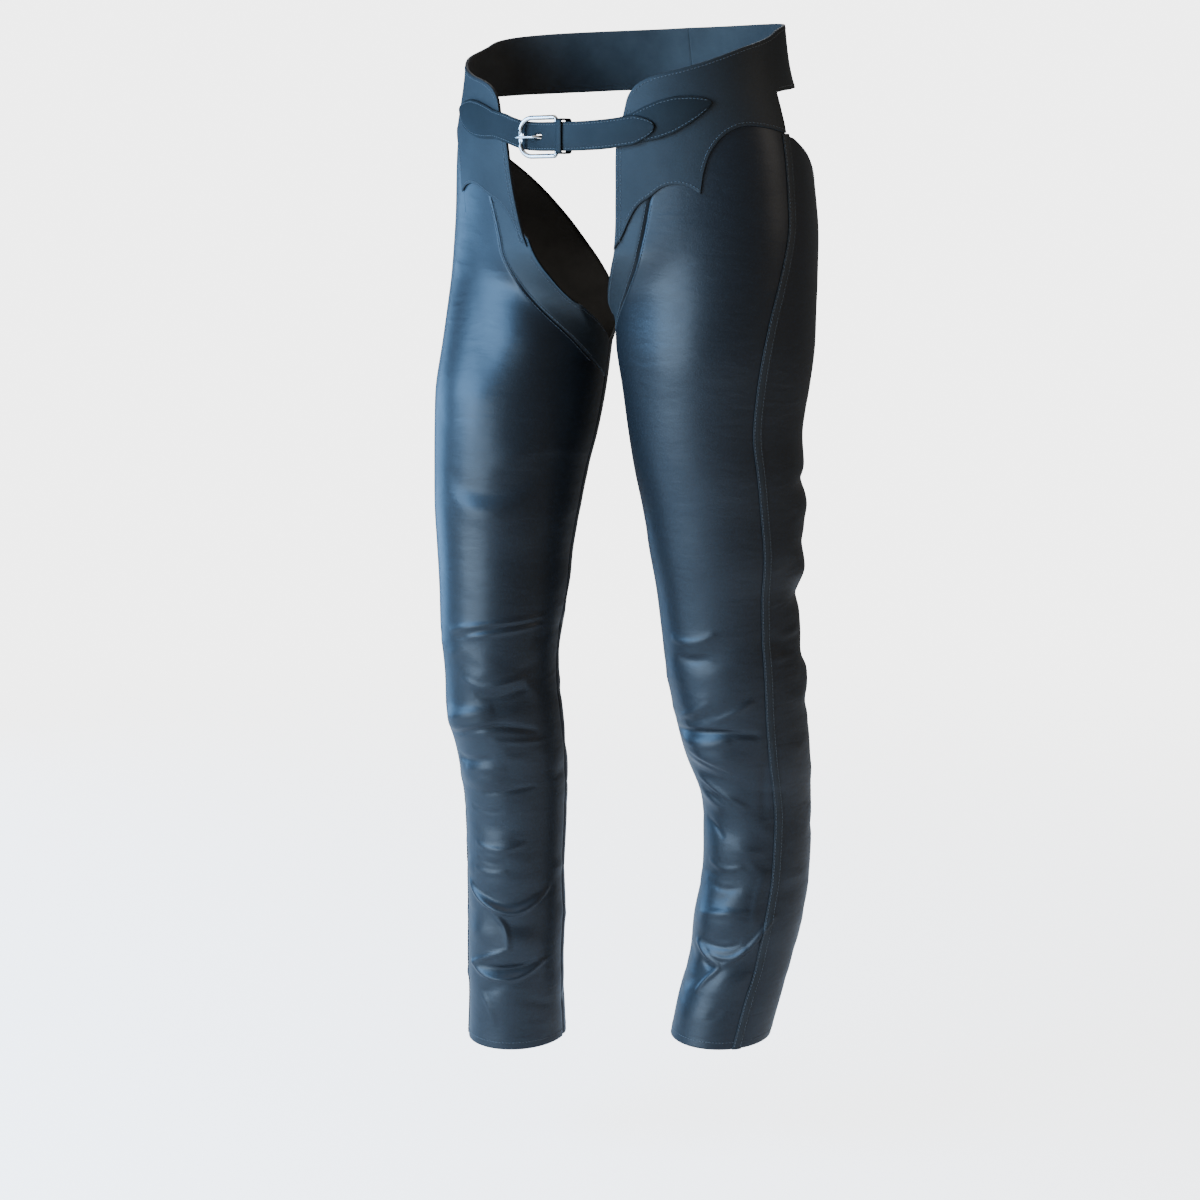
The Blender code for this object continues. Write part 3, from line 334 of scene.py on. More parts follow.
# Sharp pleats: rise and width in millimetres, then the line they follow as wrap angle and height
PLEATS = {
    RIGHT: [
        (1.3, 3.0, [(104, -0.456), (87, -0.451), (60, -0.446), (36, -0.444), (6, -0.440)]),
        (-1.2, 3.2, [(96, -0.461), (66, -0.452), (40, -0.448), (10, -0.4445)]),
        (1.3, 3.0, [(84, -0.460), (66, -0.456), (45, -0.452), (8, -0.448)]),
        (1.2, 3.2, [(92, -0.500), (80, -0.504), (66, -0.508), (48, -0.504), (22, -0.498)]),
        (-1.8, 4.5, [(76, -0.514), (64, -0.518), (50, -0.516), (22, -0.508)]),
        (1.5, 5.0, [(120, -0.540), (100, -0.537), (78, -0.532), (58, -0.529)]),
        (-2.2, 3.4, [(128, -0.560), (96, -0.554), (75, -0.548), (50, -0.545), (16, -0.552)]),
        (0.8, 3.0, [(66, -0.560), (37, -0.562), (6, -0.563)]),
        (-1.5, 3.6, [(118, -0.586), (92, -0.583), (64, -0.578)]),
        (1.0, 4.0, [(104, -0.592), (74, -0.590), (54, -0.589)]),
        (-1.1, 2.6, [(84, -0.616), (54, -0.612), (24, -0.608)]),
        (-0.7, 2.8, [(104, -0.632), (80, -0.636), (60, -0.634)]),
        (0.9, 3.0, [(102, -0.669), (86, -0.673), (62, -0.674), (36, -0.667)]),
        (-0.8, 3.0, [(98, -0.684), (76, -0.688), (56, -0.686)]),
        (0.8, 3.0, [(104, -0.696), (80, -0.699), (56, -0.696)]),
        (2.6, 3.1, [(122, -0.711), (106, -0.721), (90, -0.729), (72, -0.735), (55, -0.738), (40, -0.735),
                    (22, -0.727), (4, -0.714)]),
        (-0.9, 3.4, [(110, -0.714), (91, -0.721), (74, -0.7275), (55, -0.730), (38, -0.727),
                     (18, -0.716)]),
        (1.5, 2.8, [(78, -0.736), (68, -0.744), (61, -0.752), (58, -0.762), (56, -0.776)]),
        (1.6, 2.6, [(116, -0.797), (101, -0.791), (78, -0.782), (54, -0.774)]),
        (2.1, 2.6, [(116, -0.792), (101, -0.799), (88, -0.8035), (70, -0.806), (50, -0.805),
                    (30, -0.799), (8, -0.787)]),
        (-1.7, 3.6, [(96, -0.794), (78, -0.796), (58, -0.797), (38, -0.794), (20, -0.788)]),
        (0.7, 3.4, [(96, -0.822), (80, -0.836), (74, -0.856)]),
    ],
    LEFT: [
        (1.2, 3.4, [(70, -0.459), (88, -0.462), (104, -0.457), (116, -0.450)]),
        (-1.3, 4.0, [(76, -0.478), (92, -0.480), (108, -0.474)]),
        (1.1, 3.0, [(60, -0.542), (76, -0.535), (90, -0.527), (104, -0.518)]),
        (-1.2, 3.4, [(74, -0.546), (92, -0.538), (104, -0.530)]),
        (1.3, 3.0, [(102, -0.539), (112, -0.534), (124, -0.527), (140, -0.516)]),
        (-2.3, 3.4, [(44, -0.556), (68, -0.5535), (88, -0.552), (110, -0.549), (142, -0.551)]),
        (1.6, 5.0, [(60, -0.562), (80, -0.562), (98, -0.561), (116, -0.557)]),
        (-1.0, 2.8, [(66, -0.574), (84, -0.579), (100, -0.587), (114, -0.594)]),
        (1.5, 3.0, [(64, -0.599), (78, -0.605), (92, -0.612), (106, -0.620), (118, -0.628)]),
        (-1.1, 3.0, [(66, -0.612), (82, -0.618), (96, -0.627)]),
        (-0.9, 2.8, [(60, -0.646), (76, -0.651), (90, -0.662)]),
        (0.8, 3.0, [(66, -0.688), (90, -0.694), (114, -0.688)]),
        (-0.8, 3.2, [(64, -0.708), (88, -0.714), (112, -0.710)]),
        (1.2, 4.0, [(62, -0.742), (92, -0.737), (124, -0.731)]),
        (2.0, 2.6, [(62, -0.770), (72, -0.775), (82, -0.781), (94, -0.786), (104, -0.789)]),
        (2.3, 2.8, [(152, -0.736), (143, -0.749), (138, -0.758), (130, -0.769), (120, -0.779),
                    (104, -0.789)]),
        (1.4, 2.2, [(84, -0.777), (96, -0.781), (108, -0.7815), (120, -0.776), (128, -0.768)]),
        (-1.5, 3.0, [(72, -0.768), (90, -0.771), (108, -0.771), (122, -0.764)]),
        (1.6, 2.8, [(104, -0.789), (98, -0.797), (90, -0.806), (82, -0.820)]),
        (-1.2, 3.0, [(78, -0.786), (88, -0.792), (96, -0.792)]),
        (-0.9, 4.0, [(150, -0.560), (138, -0.600), (132, -0.640)]),
        (0.7, 3.6, [(136, -0.690), (128, -0.720), (132, -0.750)]),
    ],
}
# Shallow creases all round: lowest and highest place, number, rise
SLIGHT_CREASES = [(-0.840, -0.690, 40, 0.80), (-0.690, -0.440, 64, 0.80), (-0.430, -0.250, 18, 0.35)]


def table_at(rows, at):
    """Reads a table whose first column rises, with a smooth curve through its rows."""
    rows = np.array(sorted(rows), float)
    place, values = rows[:, 0], rows[:, 1:]
    at = np.asarray(at, float)
    last = len(rows) - 1
    before = np.maximum(np.arange(last + 1) - 1, 0)
    after = np.minimum(np.arange(last + 1) + 1, last)
    slopes = (values[after] - values[before]) / (place[after] - place[before])[:, None]
    low = np.minimum(np.searchsorted(place[1:], at, side="left"), last - 1)
    span = place[low + 1] - place[low]
    t = np.clip((at - place[low]) / span, -0.5, 1.5)[..., None]
    span = span[..., None]
    rise = values[low + 1] - values[low]
    start_slope, end_slope = slopes[low] * span, slopes[low + 1] * span
    bend = (start_slope + end_slope - 2 * rise) * t + 3 * rise - 2 * start_slope - end_slope
    result = values[low] + start_slope * t + bend * t * t
    return result[..., 0] if result.shape[-1] == 1 else result


def leg_point(side, wrap, z):
    out, back, half_width, half_depth = np.moveaxis(table_at(LEG_SECTIONS[side], z), -1, 0)
    turn = np.radians(wrap - 90)
    return np.stack([side * (out + half_width * np.sin(turn)), back - half_depth * np.cos(turn), z], -1)


def squared(value, squareness):
    return np.sign(value) * np.abs(value) ** (2 / squareness)


def hip_point(side, wrap, z):
    wrap = np.maximum(wrap, 0)
    half_width, front, behind, back = np.moveaxis(table_at(HIP_SECTIONS, z), -1, 0)
    turn = np.radians(wrap * HIP_SHARE + HIP_SWING * np.sin(np.radians(wrap / 2)))
    facing = np.cos(turn) > 0
    depth = np.where(facing, front, behind)
    squareness = np.where(facing, BELLY_SQUARENESS, SEAT_SQUARENESS)
    out = half_width * squared(np.sin(turn), squareness)
    return np.stack([side * out, back - depth * squared(np.cos(turn), squareness), z], -1)


def smooth_share(value, start, end):
    """From 0 at the start to 1 at the end, level at both."""
    share = np.clip((value - start) / (end - start), 0, 1)
    return share * share * (3 - 2 * share)


def body_point(side, wrap, z):
    """The leg's ring below the crotch, the hips above the thigh, and a smooth change between them. The
    change is longer over the front and outer side, where the leather spans it."""
    wrap, z = np.broadcast_arrays(np.asarray(wrap, float), np.asarray(z, float))
    short, long = smooth_share(z, CROTCH_Z, HIP_Z), smooth_share(z, *HIP_SPAN)
    spanned = smooth_share(wrap, *SPANNED_FRONT) * (1 - smooth_share(wrap, *SPANNED_BACK))
    share = (short + (long - short) * spanned)[..., None]
    return leg_point(side, wrap, z) * (1 - share) + hip_point(side, wrap, z) * share


def scattered_creases(side):
    """Shallow creases in places that differ from leg to leg."""
    chance = np.random.default_rng(31 + side)
    rows = []
    for low, high, count, rise in SLIGHT_CREASES:
        for _ in range(count):
            height, middle = chance.uniform(low, high), chance.uniform(0, 360)
            depth = rise * chance.uniform(0.4, 1.0) * chance.choice([-1, 1])
            rows.append((middle, height, chance.uniform(14, 34), depth, chance.uniform(4, 9),
                         chance.uniform(-6, 4), chance.uniform(-9, 9)))
    return rows


ALL_FOLDS = {side: FOLDS[side] + scattered_creases(side) for side in (LEFT, RIGHT)}
DEGREE_ON_LEG = 0.95 * MM
PLEAT_DEPTH = 1.35
PLEAT_FADE = 0.6
FOLD_DEPTH = 1.2


def rounded_line(places):
    """A pleat's line with its corners cut twice, in metres round and up the leg."""
    points = np.array(places, float) * (DEGREE_ON_LEG, 1)
    for _ in range(2):
        early = points[:-1] * 0.75 + points[1:] * 0.25
        late = points[:-1] * 0.25 + points[1:] * 0.75
        cut = np.stack([early, late], 1).reshape(-1, 2)
        points = np.concatenate([points[:1], cut[1:-1], points[-1:]])
    return points


def pleat_rise(side, wrap, z):
    """Rise of the sharp pleats. Each follows its line and fades out at both ends."""
    total = np.zeros(np.shape(z))
    for rise, width, places in PLEATS[side]:
        line = rounded_line(places)
        reach = 3 * width * MM
        middle = (line[:, 0].min() + line[:, 0].max()) / 2 / DEGREE_ON_LEG
        across = ((wrap - middle + 180) % 360 - 180 + middle) * DEGREE_ON_LEG
        near = (z > line[:, 1].min() - reach) & (z < line[:, 1].max() + reach)
        near &= (across > line[:, 0].min() - reach) & (across < line[:, 0].max() + reach)
        if not near.any():
            continue
        points = np.stack([across[near], z[near]], -1)[:, None]
        steps = np.diff(line, axis=0)
        lengths = np.linalg.norm(steps, axis=1)
        share = np.clip(np.sum((points - line[:-1]) * steps, -1) / lengths ** 2, 0, 1)
        gaps = np.linalg.norm(points - line[:-1] - steps * share[..., None], axis=-1)
        closest = np.argmin(gaps, axis=1)
        rows = np.arange(len(closest))
        start = np.concatenate([[0], np.cumsum(lengths)[:-1]])
        along = (start[closest] + share[rows, closest] * lengths[closest]) / lengths.sum()
        fade = (4 * along * (1 - along)).clip(0) ** PLEAT_FADE
        ridge = np.exp(-(gaps[rows, closest] / (width * MM)) ** 2)
        total[near] += PLEAT_DEPTH * rise * MM * fade * ridge
    return total


def fold_rise(side, wrap, z):
    total = np.zeros(np.shape(z))
    for middle, height, reach, rise, width, sag, tilt in ALL_FOLDS[side]:
        along = ((wrap - middle + 180) % 360 - 180) / reach
        line = height - sag * MM * along * along + tilt * MM * along
        across = (z - line) / (width * MM)
        fade = np.where(np.abs(along) < 1, np.cos(along * math.pi / 2) ** 2, 0)
        total += FOLD_DEPTH * rise * MM * fade * np.exp(-across * across)
    return total + pleat_rise(side, wrap, z)


def surface(side, wrap, z, lift):
    """Points on the garment's form moved out by the lift and the folds, and the outward directions."""
    wrap, z = np.broadcast_arrays(np.asarray(wrap, float), np.asarray(z, float))
    along = body_point(side, wrap + 0.4, z) - body_point(side, wrap - 0.4, z)
    up = body_point(side, wrap, z + 0.8 * MM) - body_point(side, wrap, z - 0.8 * MM)
    outward = np.cross(along, up) * side
    outward /= np.linalg.norm(outward, axis=-1, keepdims=True)
    rise = (lift + fold_rise(side, wrap, z))[..., None]
    return body_point(side, wrap, z) + outward * rise, outward


def degree_length(side, wrap, z):
    """Metres on the form that one degree of wrap spans."""
    return np.linalg.norm(body_point(side, wrap + 1, z) - body_point(side, wrap - 1, z), axis=-1) / 2


def shifted(side, wrap, z, distance):
    return wrap + distance / degree_length(side, wrap, z)


def beside(side, places, distance):
    """A line of (wrap, height) places moved to the left of the way it runs, seen from outside."""
    scale = degree_length(side, places[:, 0], places[:, 1])
    across = np.gradient(places[:, 0]) * scale
    climb = np.gradient(places[:, 1])
    length = np.hypot(across, climb)
    return places + distance * np.stack([-climb / length / scale, across / length], -1)


def places_on(table, z):
    """Places at heights on a cut line given as (height, wrap) rows."""
    return np.stack([table_at(table, z), z], -1)


def line_of(table, low, high, count):
    return places_on(table, np.linspace(low, high, count))


def between(first, last, shares):
    """Places at shares of the way from one place to another."""
    return first + (last - first) * shares[:, None]


def blend_patch(bottom, top, left, right, u, v):
    """A grid of places that meets four edge lines, at shares u across and v up."""
    u, v = u[None, :, None], v[:, None, None]
    edges = (1 - v) * bottom[None] + v * top[None] + (1 - u) * left[:, None] + u * right[:, None]
    corners = (1 - v) * ((1 - u) * bottom[0] + u * bottom[-1]) + v * ((1 - u) * top[0] + u * top[-1])
    return edges - corners


def softened(points, share):
    """A grid with one more line just inside each of its four edges."""
    for axis in (0, 1):
        points = np.swapaxes(points, 0, axis)
        first = points[0] + (points[1] - points[0]) * share
        last = points[-1] + (points[-2] - points[-1]) * share
        points = np.concatenate([points[:1], first[None], points[1:-1], last[None], points[-1:]])
        points = np.swapaxes(points, 0, axis)
    return points


def rim_mask(shape):
    mask = np.zeros(shape)
    mask[0], mask[-1], mask[:, 0], mask[:, -1] = 1, 1, 1, 1
    return mask


def link(name, data):
    """A new object in the scene."""
    made = bpy.data.objects.new(name, data)
    bpy.context.scene.collection.objects.link(made)
    return made


def add_mesh(name, points, faces, materials, kinds=None):
    """A smooth closed mesh with its faces turned outwards. Kinds choose each face's material."""
    mesh = bpy.data.meshes.new(name)
    mesh.from_pydata(points.reshape(-1, 3).tolist(), [], faces)
    for material in materials:
        mesh.materials.append(material)
    if kinds is not None:
        mesh.polygons.foreach_set("material_index", kinds)
    builder = bmesh.new()
    builder.from_mesh(mesh)
    bmesh.ops.recalc_face_normals(builder, faces=builder.faces)
    builder.to_mesh(mesh)
    builder.free()
    mesh.shade_smooth()
    return link(name, mesh)


def add_wall(name, inner, outer, materials):
    """A closed wall between two grids of points. Its materials are for the outside, inside and rim."""
    rows, columns = inner.shape[:2]
    offset = rows * columns
    index = np.arange(offset).reshape(rows, columns)
    quads = np.stack([index[:-1, :-1], index[:-1, 1:], index[1:, 1:], index[1:, :-1]], -1).reshape(-1, 4)
    around = np.concatenate([index[0, :-1], index[:-1, -1], index[-1, :0:-1], index[:0:-1, 0]])
    onward = np.roll(around, -1)
    rim = np.stack([around, onward, onward + offset, around + offset], -1)
    faces = np.concatenate([quads + offset, quads[:, ::-1], rim])
    kinds = np.repeat([0, 1, 2], [len(quads), len(quads), len(rim)]).astype(np.int32)
    return add_mesh(name, np.stack([inner, outer]), faces.tolist(), materials, kinds)


def add_panel(name, side, places, lift_in, lift_out, materials, dips=(), laps=None):
    """A wall over a grid of places on one leg, thinned a little at its cut edges.

    It is drawn in at the seams named in dips, and laps gives how far its inner face is lifted."""
    places = softened(places, EDGE_SHARE)
    soft = EDGE_SOFTNESS * rim_mask(places.shape[:2])
    wrap, z = places[..., 0], places[..., 1]
    drawn = np.zeros(wrap.shape)
    for column in dips:
        distance = np.abs(wrap - wrap[:, column:][:, :1]) * degree_length(side, wrap, z)
        drawn -= SEAM_DRAW * np.exp(-(distance / SEAM_DRAW_WIDTH) ** 2)
    lapped = laps(places) if laps else 0
    inner = surface(side, wrap, z, lift_in + soft * 0.6 + drawn + lapped)[0]
    outer = surface(side, wrap, z, lift_out - soft + drawn)[0]
    return add_wall(name, inner, outer, materials)


def seam_line(side, z, distance):
    """Places beside the outer seam, a distance further round."""
    wrap = table_at(OUTER_SEAM, z)
    return np.stack([shifted(side, wrap, z, distance), z], -1)


def scallop_height(wrap, side):
    start = (table_at(STRIP_LINE[side], STRIP_TOP[-1][1]), STRIP_TOP[-1][1])
    first = table_at([start] + FIRST_SCALLOP, wrap)
    return np.where(wrap <= CUSP, first, table_at(SECOND_SCALLOP, wrap))


def crowded(count, extras=()):
    """Shares from 0 to 1 with more of them near both ends."""
    ends = np.array([0.008, 0.020, 0.980, 0.992])
    return np.unique(np.round(np.concatenate([np.linspace(0, 1, count), ends, np.array(extras)]), 6))


def level_rows(first, last, z, shares):
    """Rows of places at each height, from one wrap angle to another."""
    wrap = first[:, None] + (last - first)[:, None] * shares
    return np.stack(np.broadcast_arrays(wrap, z[:, None]), -1)


def leg_front_places(side):
    """From the inner seam and the strip's line to the outer seam, and from the hem to the yoke."""
    v = np.linspace(0, 1, 74)
    left = line_of(STRIP_LINE[side], STRIP_END_Z, STRIP_TOP[-1][1] + TUCK, len(v))
    left = beside(side, left, SEAM_MEET)
    left[0] = (shifted(side, STRIP_LINE[side][0][1], STRIP_END_Z, -SEAM_MEET), STRIP_END_Z)
    seam_top = SECOND_SCALLOP[-1][1] + TUCK
    right = seam_line(side, np.linspace(STRIP_END_Z, seam_top, len(v)), SEAM_MEET)
    span = right[-1, 0] - left[-1, 0]
    u = crowded(86, [(wrap - left[-1, 0]) / span for wrap in CUSP_WRAPS])
    wraps = left[-1, 0] + span * u
    top = np.stack([wraps, scallop_height(wraps, side) + TUCK], -1)
    top[0], top[-1] = left[-1], right[-1]
    upper = blend_patch(between(left[0], right[0], u), top, left, right, u, v)
    creased = np.linspace(HEM_Z[side], CREASED_TOP, 296)
    z = np.concatenate([creased, np.linspace(CREASED_TOP, STRIP_END_Z, 76)[1:-1]])
    first = shifted(side, float(INNER_SEAM), z, -SEAM_MEET)
    return np.concatenate([level_rows(first, seam_line(side, z, SEAM_MEET)[:, 0], z, u), upper])


def leg_back_places(side):
    """From the outer seam to the inner seam, with the scooped edge under the seat on top."""
    u, v = crowded(72), np.linspace(0, 1, 80)
    seat_top = SEAT_EDGE[-1][0]
    left = seam_line(side, STRIP_END_Z + (seat_top + SEAT_CORNER_RISE - STRIP_END_Z) * v, -SEAM_MEET)
    right = places_on(SEAT_EDGE, STRIP_END_Z + (seat_top - STRIP_END_Z) * v)
    right[0, 0] = shifted(side, right[0, 0], STRIP_END_Z, SEAM_MEET)
    top = between(left[-1], right[-1], u)
    upper = blend_patch(between(left[0], right[0], u), top, left, right, u, v)
    z = np.linspace(HEM_Z[side], STRIP_END_Z, 264)[:-1]
    last = shifted(side, float(BACK_SEAM), z, SEAM_MEET)
    return np.concatenate([level_rows(seam_line(side, z, -SEAM_MEET)[:, 0], last, z, u), upper])


def put_on(piece, slot, *nodes):
    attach(piece, "root")
    if nodes:
        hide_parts(*nodes)


leg_panels = {}
for side, side_name in SIDE_NAMES.items():
    panels = (("front", leg_front_places(side), 0), ("back", leg_back_places(side), -1))
    for panel, places, dip in panels:
        piece = add_panel(f"leg_{panel}_hide_{side_name}", side, places, 0, LEG_WALL,
                          (HIDE, FLESH, CUT_EDGE), (dip,))
        put_on(piece, "leather", f"leg_{panel}_{side_name}")
        leg_panels[panel, side] = piece

# The thread. Dark grey waxed thread in lock stitches of about 3 mm, drawn a little into the leather.
THREAD_DARK = (0.045, 0.048, 0.050)
THREAD_PALE = (0.090, 0.094, 0.096)
STITCH_PITCH = 3.3 * MM
STITCH_LENGTH = 2.7 * MM
THREAD_RADIUS = 0.34 * MM
STITCH_SIDES = 6
# Along a stitch: share of its half length, share of the thread's radius
STITCH_SHAPE = [(-1.0, 0.45), (-0.72, 0.95), (0.0, 1.0), (0.72, 0.95), (1.0, 0.45)]
HEM_INSET = 7 * MM
SEAT_INSET = 3.2 * MM


def make_thread():
    material, tree, shader = new_material("waxed_thread")
    noise = add_node(tree, "ShaderNodeTexNoise", Vector=object_place(tree), Scale=1500, Detail=2)
    twist = noise.outputs["Fac"]
    twisted = add_node(tree, "ShaderNodeBump", Height=twist, Distance=0.1 * MM)
    set_inputs(tree, shader, Base_Color=mixed_colour(tree, twist, THREAD_DARK, THREAD_PALE),
               Normal=twisted.outputs["Normal"], Roughness=0.5)
    return material


THREAD = make_thread()


def stitch_frames(points, outward):
    """Middle, direction and outward direction of each stitch along a line of points."""
    steps = np.linalg.norm(np.diff(points, axis=0), axis=1)
    travelled = np.concatenate([[0], np.cumsum(steps)])
    count = max(int(travelled[-1] / STITCH_PITCH), 1)
    middles = (np.arange(count) + 0.5) * travelled[-1] / count

    def read(values, at):
        return np.stack([np.interp(at, travelled, values[:, axis]) for axis in range(3)], -1)

    ahead, behind = read(points, middles + STITCH_LENGTH / 2), read(points, middles - STITCH_LENGTH / 2)
    along = ahead - behind
    along /= np.linalg.norm(along, axis=1, keepdims=True)
    up = read(outward, middles)
    up -= along * np.sum(up * along, axis=1, keepdims=True)
    up /= np.linalg.norm(up, axis=1, keepdims=True)
    return (ahead + behind) / 2, along, up


def ring_faces(rings, around, closed):
    """Four-sided faces between rings of corners, which are numbered one ring after the other."""
    faces = []
    for ring in range(rings if closed else rings - 1):
        low, high = ring * around, (ring + 1) % rings * around
        for corner in range(around):
            after = (corner + 1) % around
            faces.append((low + corner, low + after, high + after, high + corner))
    return faces


def add_thread(name, lines, slot="leather"):
    """One object of stitches along several lines, each a pair of points and outward directions."""
    frames = [stitch_frames(points, outward) for points, outward in lines]
    middles, along, up = (np.concatenate(values)[:, None] for values in zip(*frames))
    shape = []
    for station, width in STITCH_SHAPE:
        for angle in 2 * math.pi * np.arange(STITCH_SIDES) / STITCH_SIDES:
            rise = THREAD_RADIUS * (width * math.sin(angle) + 0.35 - 0.9 * station * station)
            shape.append((station * STITCH_LENGTH / 2, width * THREAD_RADIUS * math.cos(angle), rise))
    shape = np.array(shape)
    points = middles + along * shape[:, :1] + np.cross(along, up) * shape[:, 1:2] + up * shape[:, 2:]
    first_end = tuple(range(STITCH_SIDES))
    last_end = tuple(range(len(shape) - STITCH_SIDES, len(shape)))
    faces = [first_end[::-1], last_end] + ring_faces(len(STITCH_SHAPE), STITCH_SIDES, False)
    starts = range(0, len(middles) * len(shape), len(shape))
    all_faces = [tuple(corner + start for corner in face) for start in starts for face in faces]
    put_on(add_mesh(name, points, all_faces, [THREAD]), slot)


def sewn(side, places, lift, inset=0):
    """Points and outward directions along places on the form, or along a line beside them."""
    if inset:
        places = beside(side, places, inset)
    return surface(side, places[:, 0], places[:, 1], lift)


for side, side_name in SIDE_NAMES.items():
    around = np.linspace(INNER_SEAM + 3, BACK_SEAM - 3, 160)
    hem = np.stack([around, np.full(len(around), HEM_Z[side] + HEM_INSET)], -1)
    seat = line_of(SEAT_EDGE, -0.205, -0.004, 120)
    lines = [sewn(side, hem, LEG_WALL), sewn(side, seat, LEG_WALL, SEAT_INSET)]
    add_thread(f"leg_thread_{side_name}", lines)

# The strip down the inner thigh. A softer, duller leather that faces the edge of the open front,
# sewn to the front panel along its whole length.
STRIP_DARK = (0.017, 0.018, 0.018)
STRIP_WORN = (0.028, 0.029, 0.028)
STRIP_HIDE = make_leather("strip_hide", STRIP_DARK, STRIP_WORN, 0.56, 1100, 0.14 * MM, 0.3 * MM, 0, 0.4)
EDGE_INSET = 2.6 * MM
SEAM_INSET = 2.4 * MM


def strip_top_line(side, count):
    """The yoke's edge over the strip, from the opening edge to the strip's line."""
    share = np.linspace(0, 1, count)
    first = table_at(OPENING_EDGE[side], STRIP_TOP[0][1])
    last = table_at(STRIP_LINE[side], STRIP_TOP[-1][1])
    return np.stack([first + (last - first) * share, table_at(STRIP_TOP, share)], -1)


def thigh_strip_places(side):
    u, v = crowded(22), np.linspace(0, 1, 76)
    top = strip_top_line(side, 200)
    top = np.stack([np.interp(u, np.linspace(0, 1, 200), top[:, axis]) for axis in (0, 1)], -1)
    top[:, 1] += TUCK
    left = places_on(OPENING_EDGE[side], STRIP_END_Z + (top[0, 1] - STRIP_END_Z) * v)
    right = places_on(STRIP_LINE[side], STRIP_END_Z + (top[-1, 1] - STRIP_END_Z) * v)
    right = beside(side, right, -SEAM_MEET)
    right[0] = (shifted(side, STRIP_LINE[side][0][1], STRIP_END_Z, SEAM_MEET), STRIP_END_Z)
    top[0], top[-1] = left[-1], right[-1]
    return blend_patch(between(left[0], right[0], u), top, left, right, u, v)


for side, side_name in SIDE_NAMES.items():
    piece = add_panel(f"thigh_strip_hide_{side_name}", side, thigh_strip_places(side), 0, LEG_WALL,
                      (STRIP_HIDE, FLESH, CUT_EDGE), (-1,))
    put_on(piece, "trim_leather", f"thigh_strip_{side_name}")
    front_edge = line_of(OPENING_EDGE[side], -0.176, -0.102, 90)
    seam = line_of(STRIP_LINE[side], -0.200, -0.056, 110)
    rows = ((front_edge, -EDGE_INSET), (seam, SEAM_INSET), (seam, -SEAM_INSET))
    lines = [sewn(side, places, LEG_WALL, inset) for places, inset in rows]
    add_thread(f"strip_thread_{side_name}", lines, "trim_leather")

# The cover down the outer seam. A narrow strap of the strips' duller leather over the long side
# fastening, sewn down along both of its edges from the hem to the yoke.
COVER_IN = LEG_WALL + SEAM_GAP
COVER_OUT = COVER_IN + 1.1 * MM
COVER_WIDTH = 9 * MM
COVER_SEWING = 0.34
# Across the cover: share of its width, rise of its face in millimetres
COVER_FACE = np.array([
    (-0.5, -0.75), (-0.42, -0.30), (-COVER_SEWING, -0.30), (-0.17, 0.0), (0, 0.10), (0.17, 0.0),
    (COVER_SEWING, -0.30), (0.42, -0.30), (0.5, -0.75),
])

for side, side_name in SIDE_NAMES.items():
    top = OUTER_SEAM[-1][0] - 2 * SEAM_GAP
    z = np.linspace(HEM_Z[side], top, 380)
    places = np.stack([seam_line(side, z, shift) for shift in COVER_FACE[:, 0] * COVER_WIDTH], 1)
    places = softened(places, EDGE_SHARE)
    crown = COVER_FACE[:, 1] * MM
    crown = np.concatenate([crown[:1], crown[:1] * 0.4, crown[1:-1], crown[-1:] * 0.4, crown[-1:]])
    inner, outer = (surface(side, places[..., 0], places[..., 1], lift)[0]
                    for lift in (COVER_IN, COVER_OUT + crown))
    piece = add_wall(f"seam_cover_hide_{side_name}", inner, outer, (STRIP_HIDE, FLESH, CUT_EDGE))
    put_on(piece, "leather", f"seam_cover_{side_name}")
    z = np.linspace(HEM_Z[side] + 2 * MM, top - 2 * MM, 380)
    shifts = (-COVER_SEWING * COVER_WIDTH, COVER_SEWING * COVER_WIDTH)
    lines = [sewn(side, seam_line(side, z, shift), COVER_OUT - 0.30 * MM) for shift in shifts]
    add_thread(f"seam_cover_thread_{side_name}", lines)

# The yokes. Two heavy hip pieces with scalloped lower edges, which carry the legs and run on as a
# band round the back to a sewn seam in the middle.
YOKE_IN = 0.4 * MM
YOKE_OUT = 3.4 * MM
YOKE_HIDE = make_leather("yoke_hide", (0.013, 0.0138, 0.0138), (0.023, 0.0245, 0.0245), 0.58, 1000,
                         0.12 * MM, 0.2 * MM, 0, 0.36)
BAND_BOTTOM = [
    (159.0, 0.0400), (172, 0.0420), (190, 0.0435), (210, 0.0450), (230, 0.0460), (250, 0.0470),
    (272, 0.0480), (294, 0.0490), (316, 0.0495), (338, 0.0500), (360, 0.0500),
]
YOKE_TOP = [
    (38, 0.0300), (39.5, 0.0360), (42, 0.0415), (47, 0.0480), (57, 0.0540), (75, 0.0595),
    (91, 0.0645), (108, 0.0705), (128, 0.0775), (157, 0.0860), (178, 0.0950), (215, 0.1010),
    (270, 0.1045), (360, 0.1060),
]
# The step from the scallops up to the band: wrap angle, height
RISER = np.array([[157.7, 0.0130], [158.3, 0.0260], [158.7, 0.0350]])
TOP_LEAD = 6
SECOND_ROW_INSET = 5.6 * MM
BAND_INSET = 3.0 * MM
BACK_STITCHES = 358.6
FIRST_COUNT = 24
BAND_COUNT = 110


def scallop_line(side):
    """The scalloped edge from the strip's line to the outer seam, with its cusp kept sharp."""
    start = table_at(STRIP_LINE[side], STRIP_TOP[-1][1])
    first, second = np.linspace(start, CUSP, FIRST_COUNT), np.linspace(CUSP + 0.5, YOKE_END, 60)
    wraps = np.concatenate([first, second])
    return np.stack([wraps, scallop_height(wraps, side)], -1)


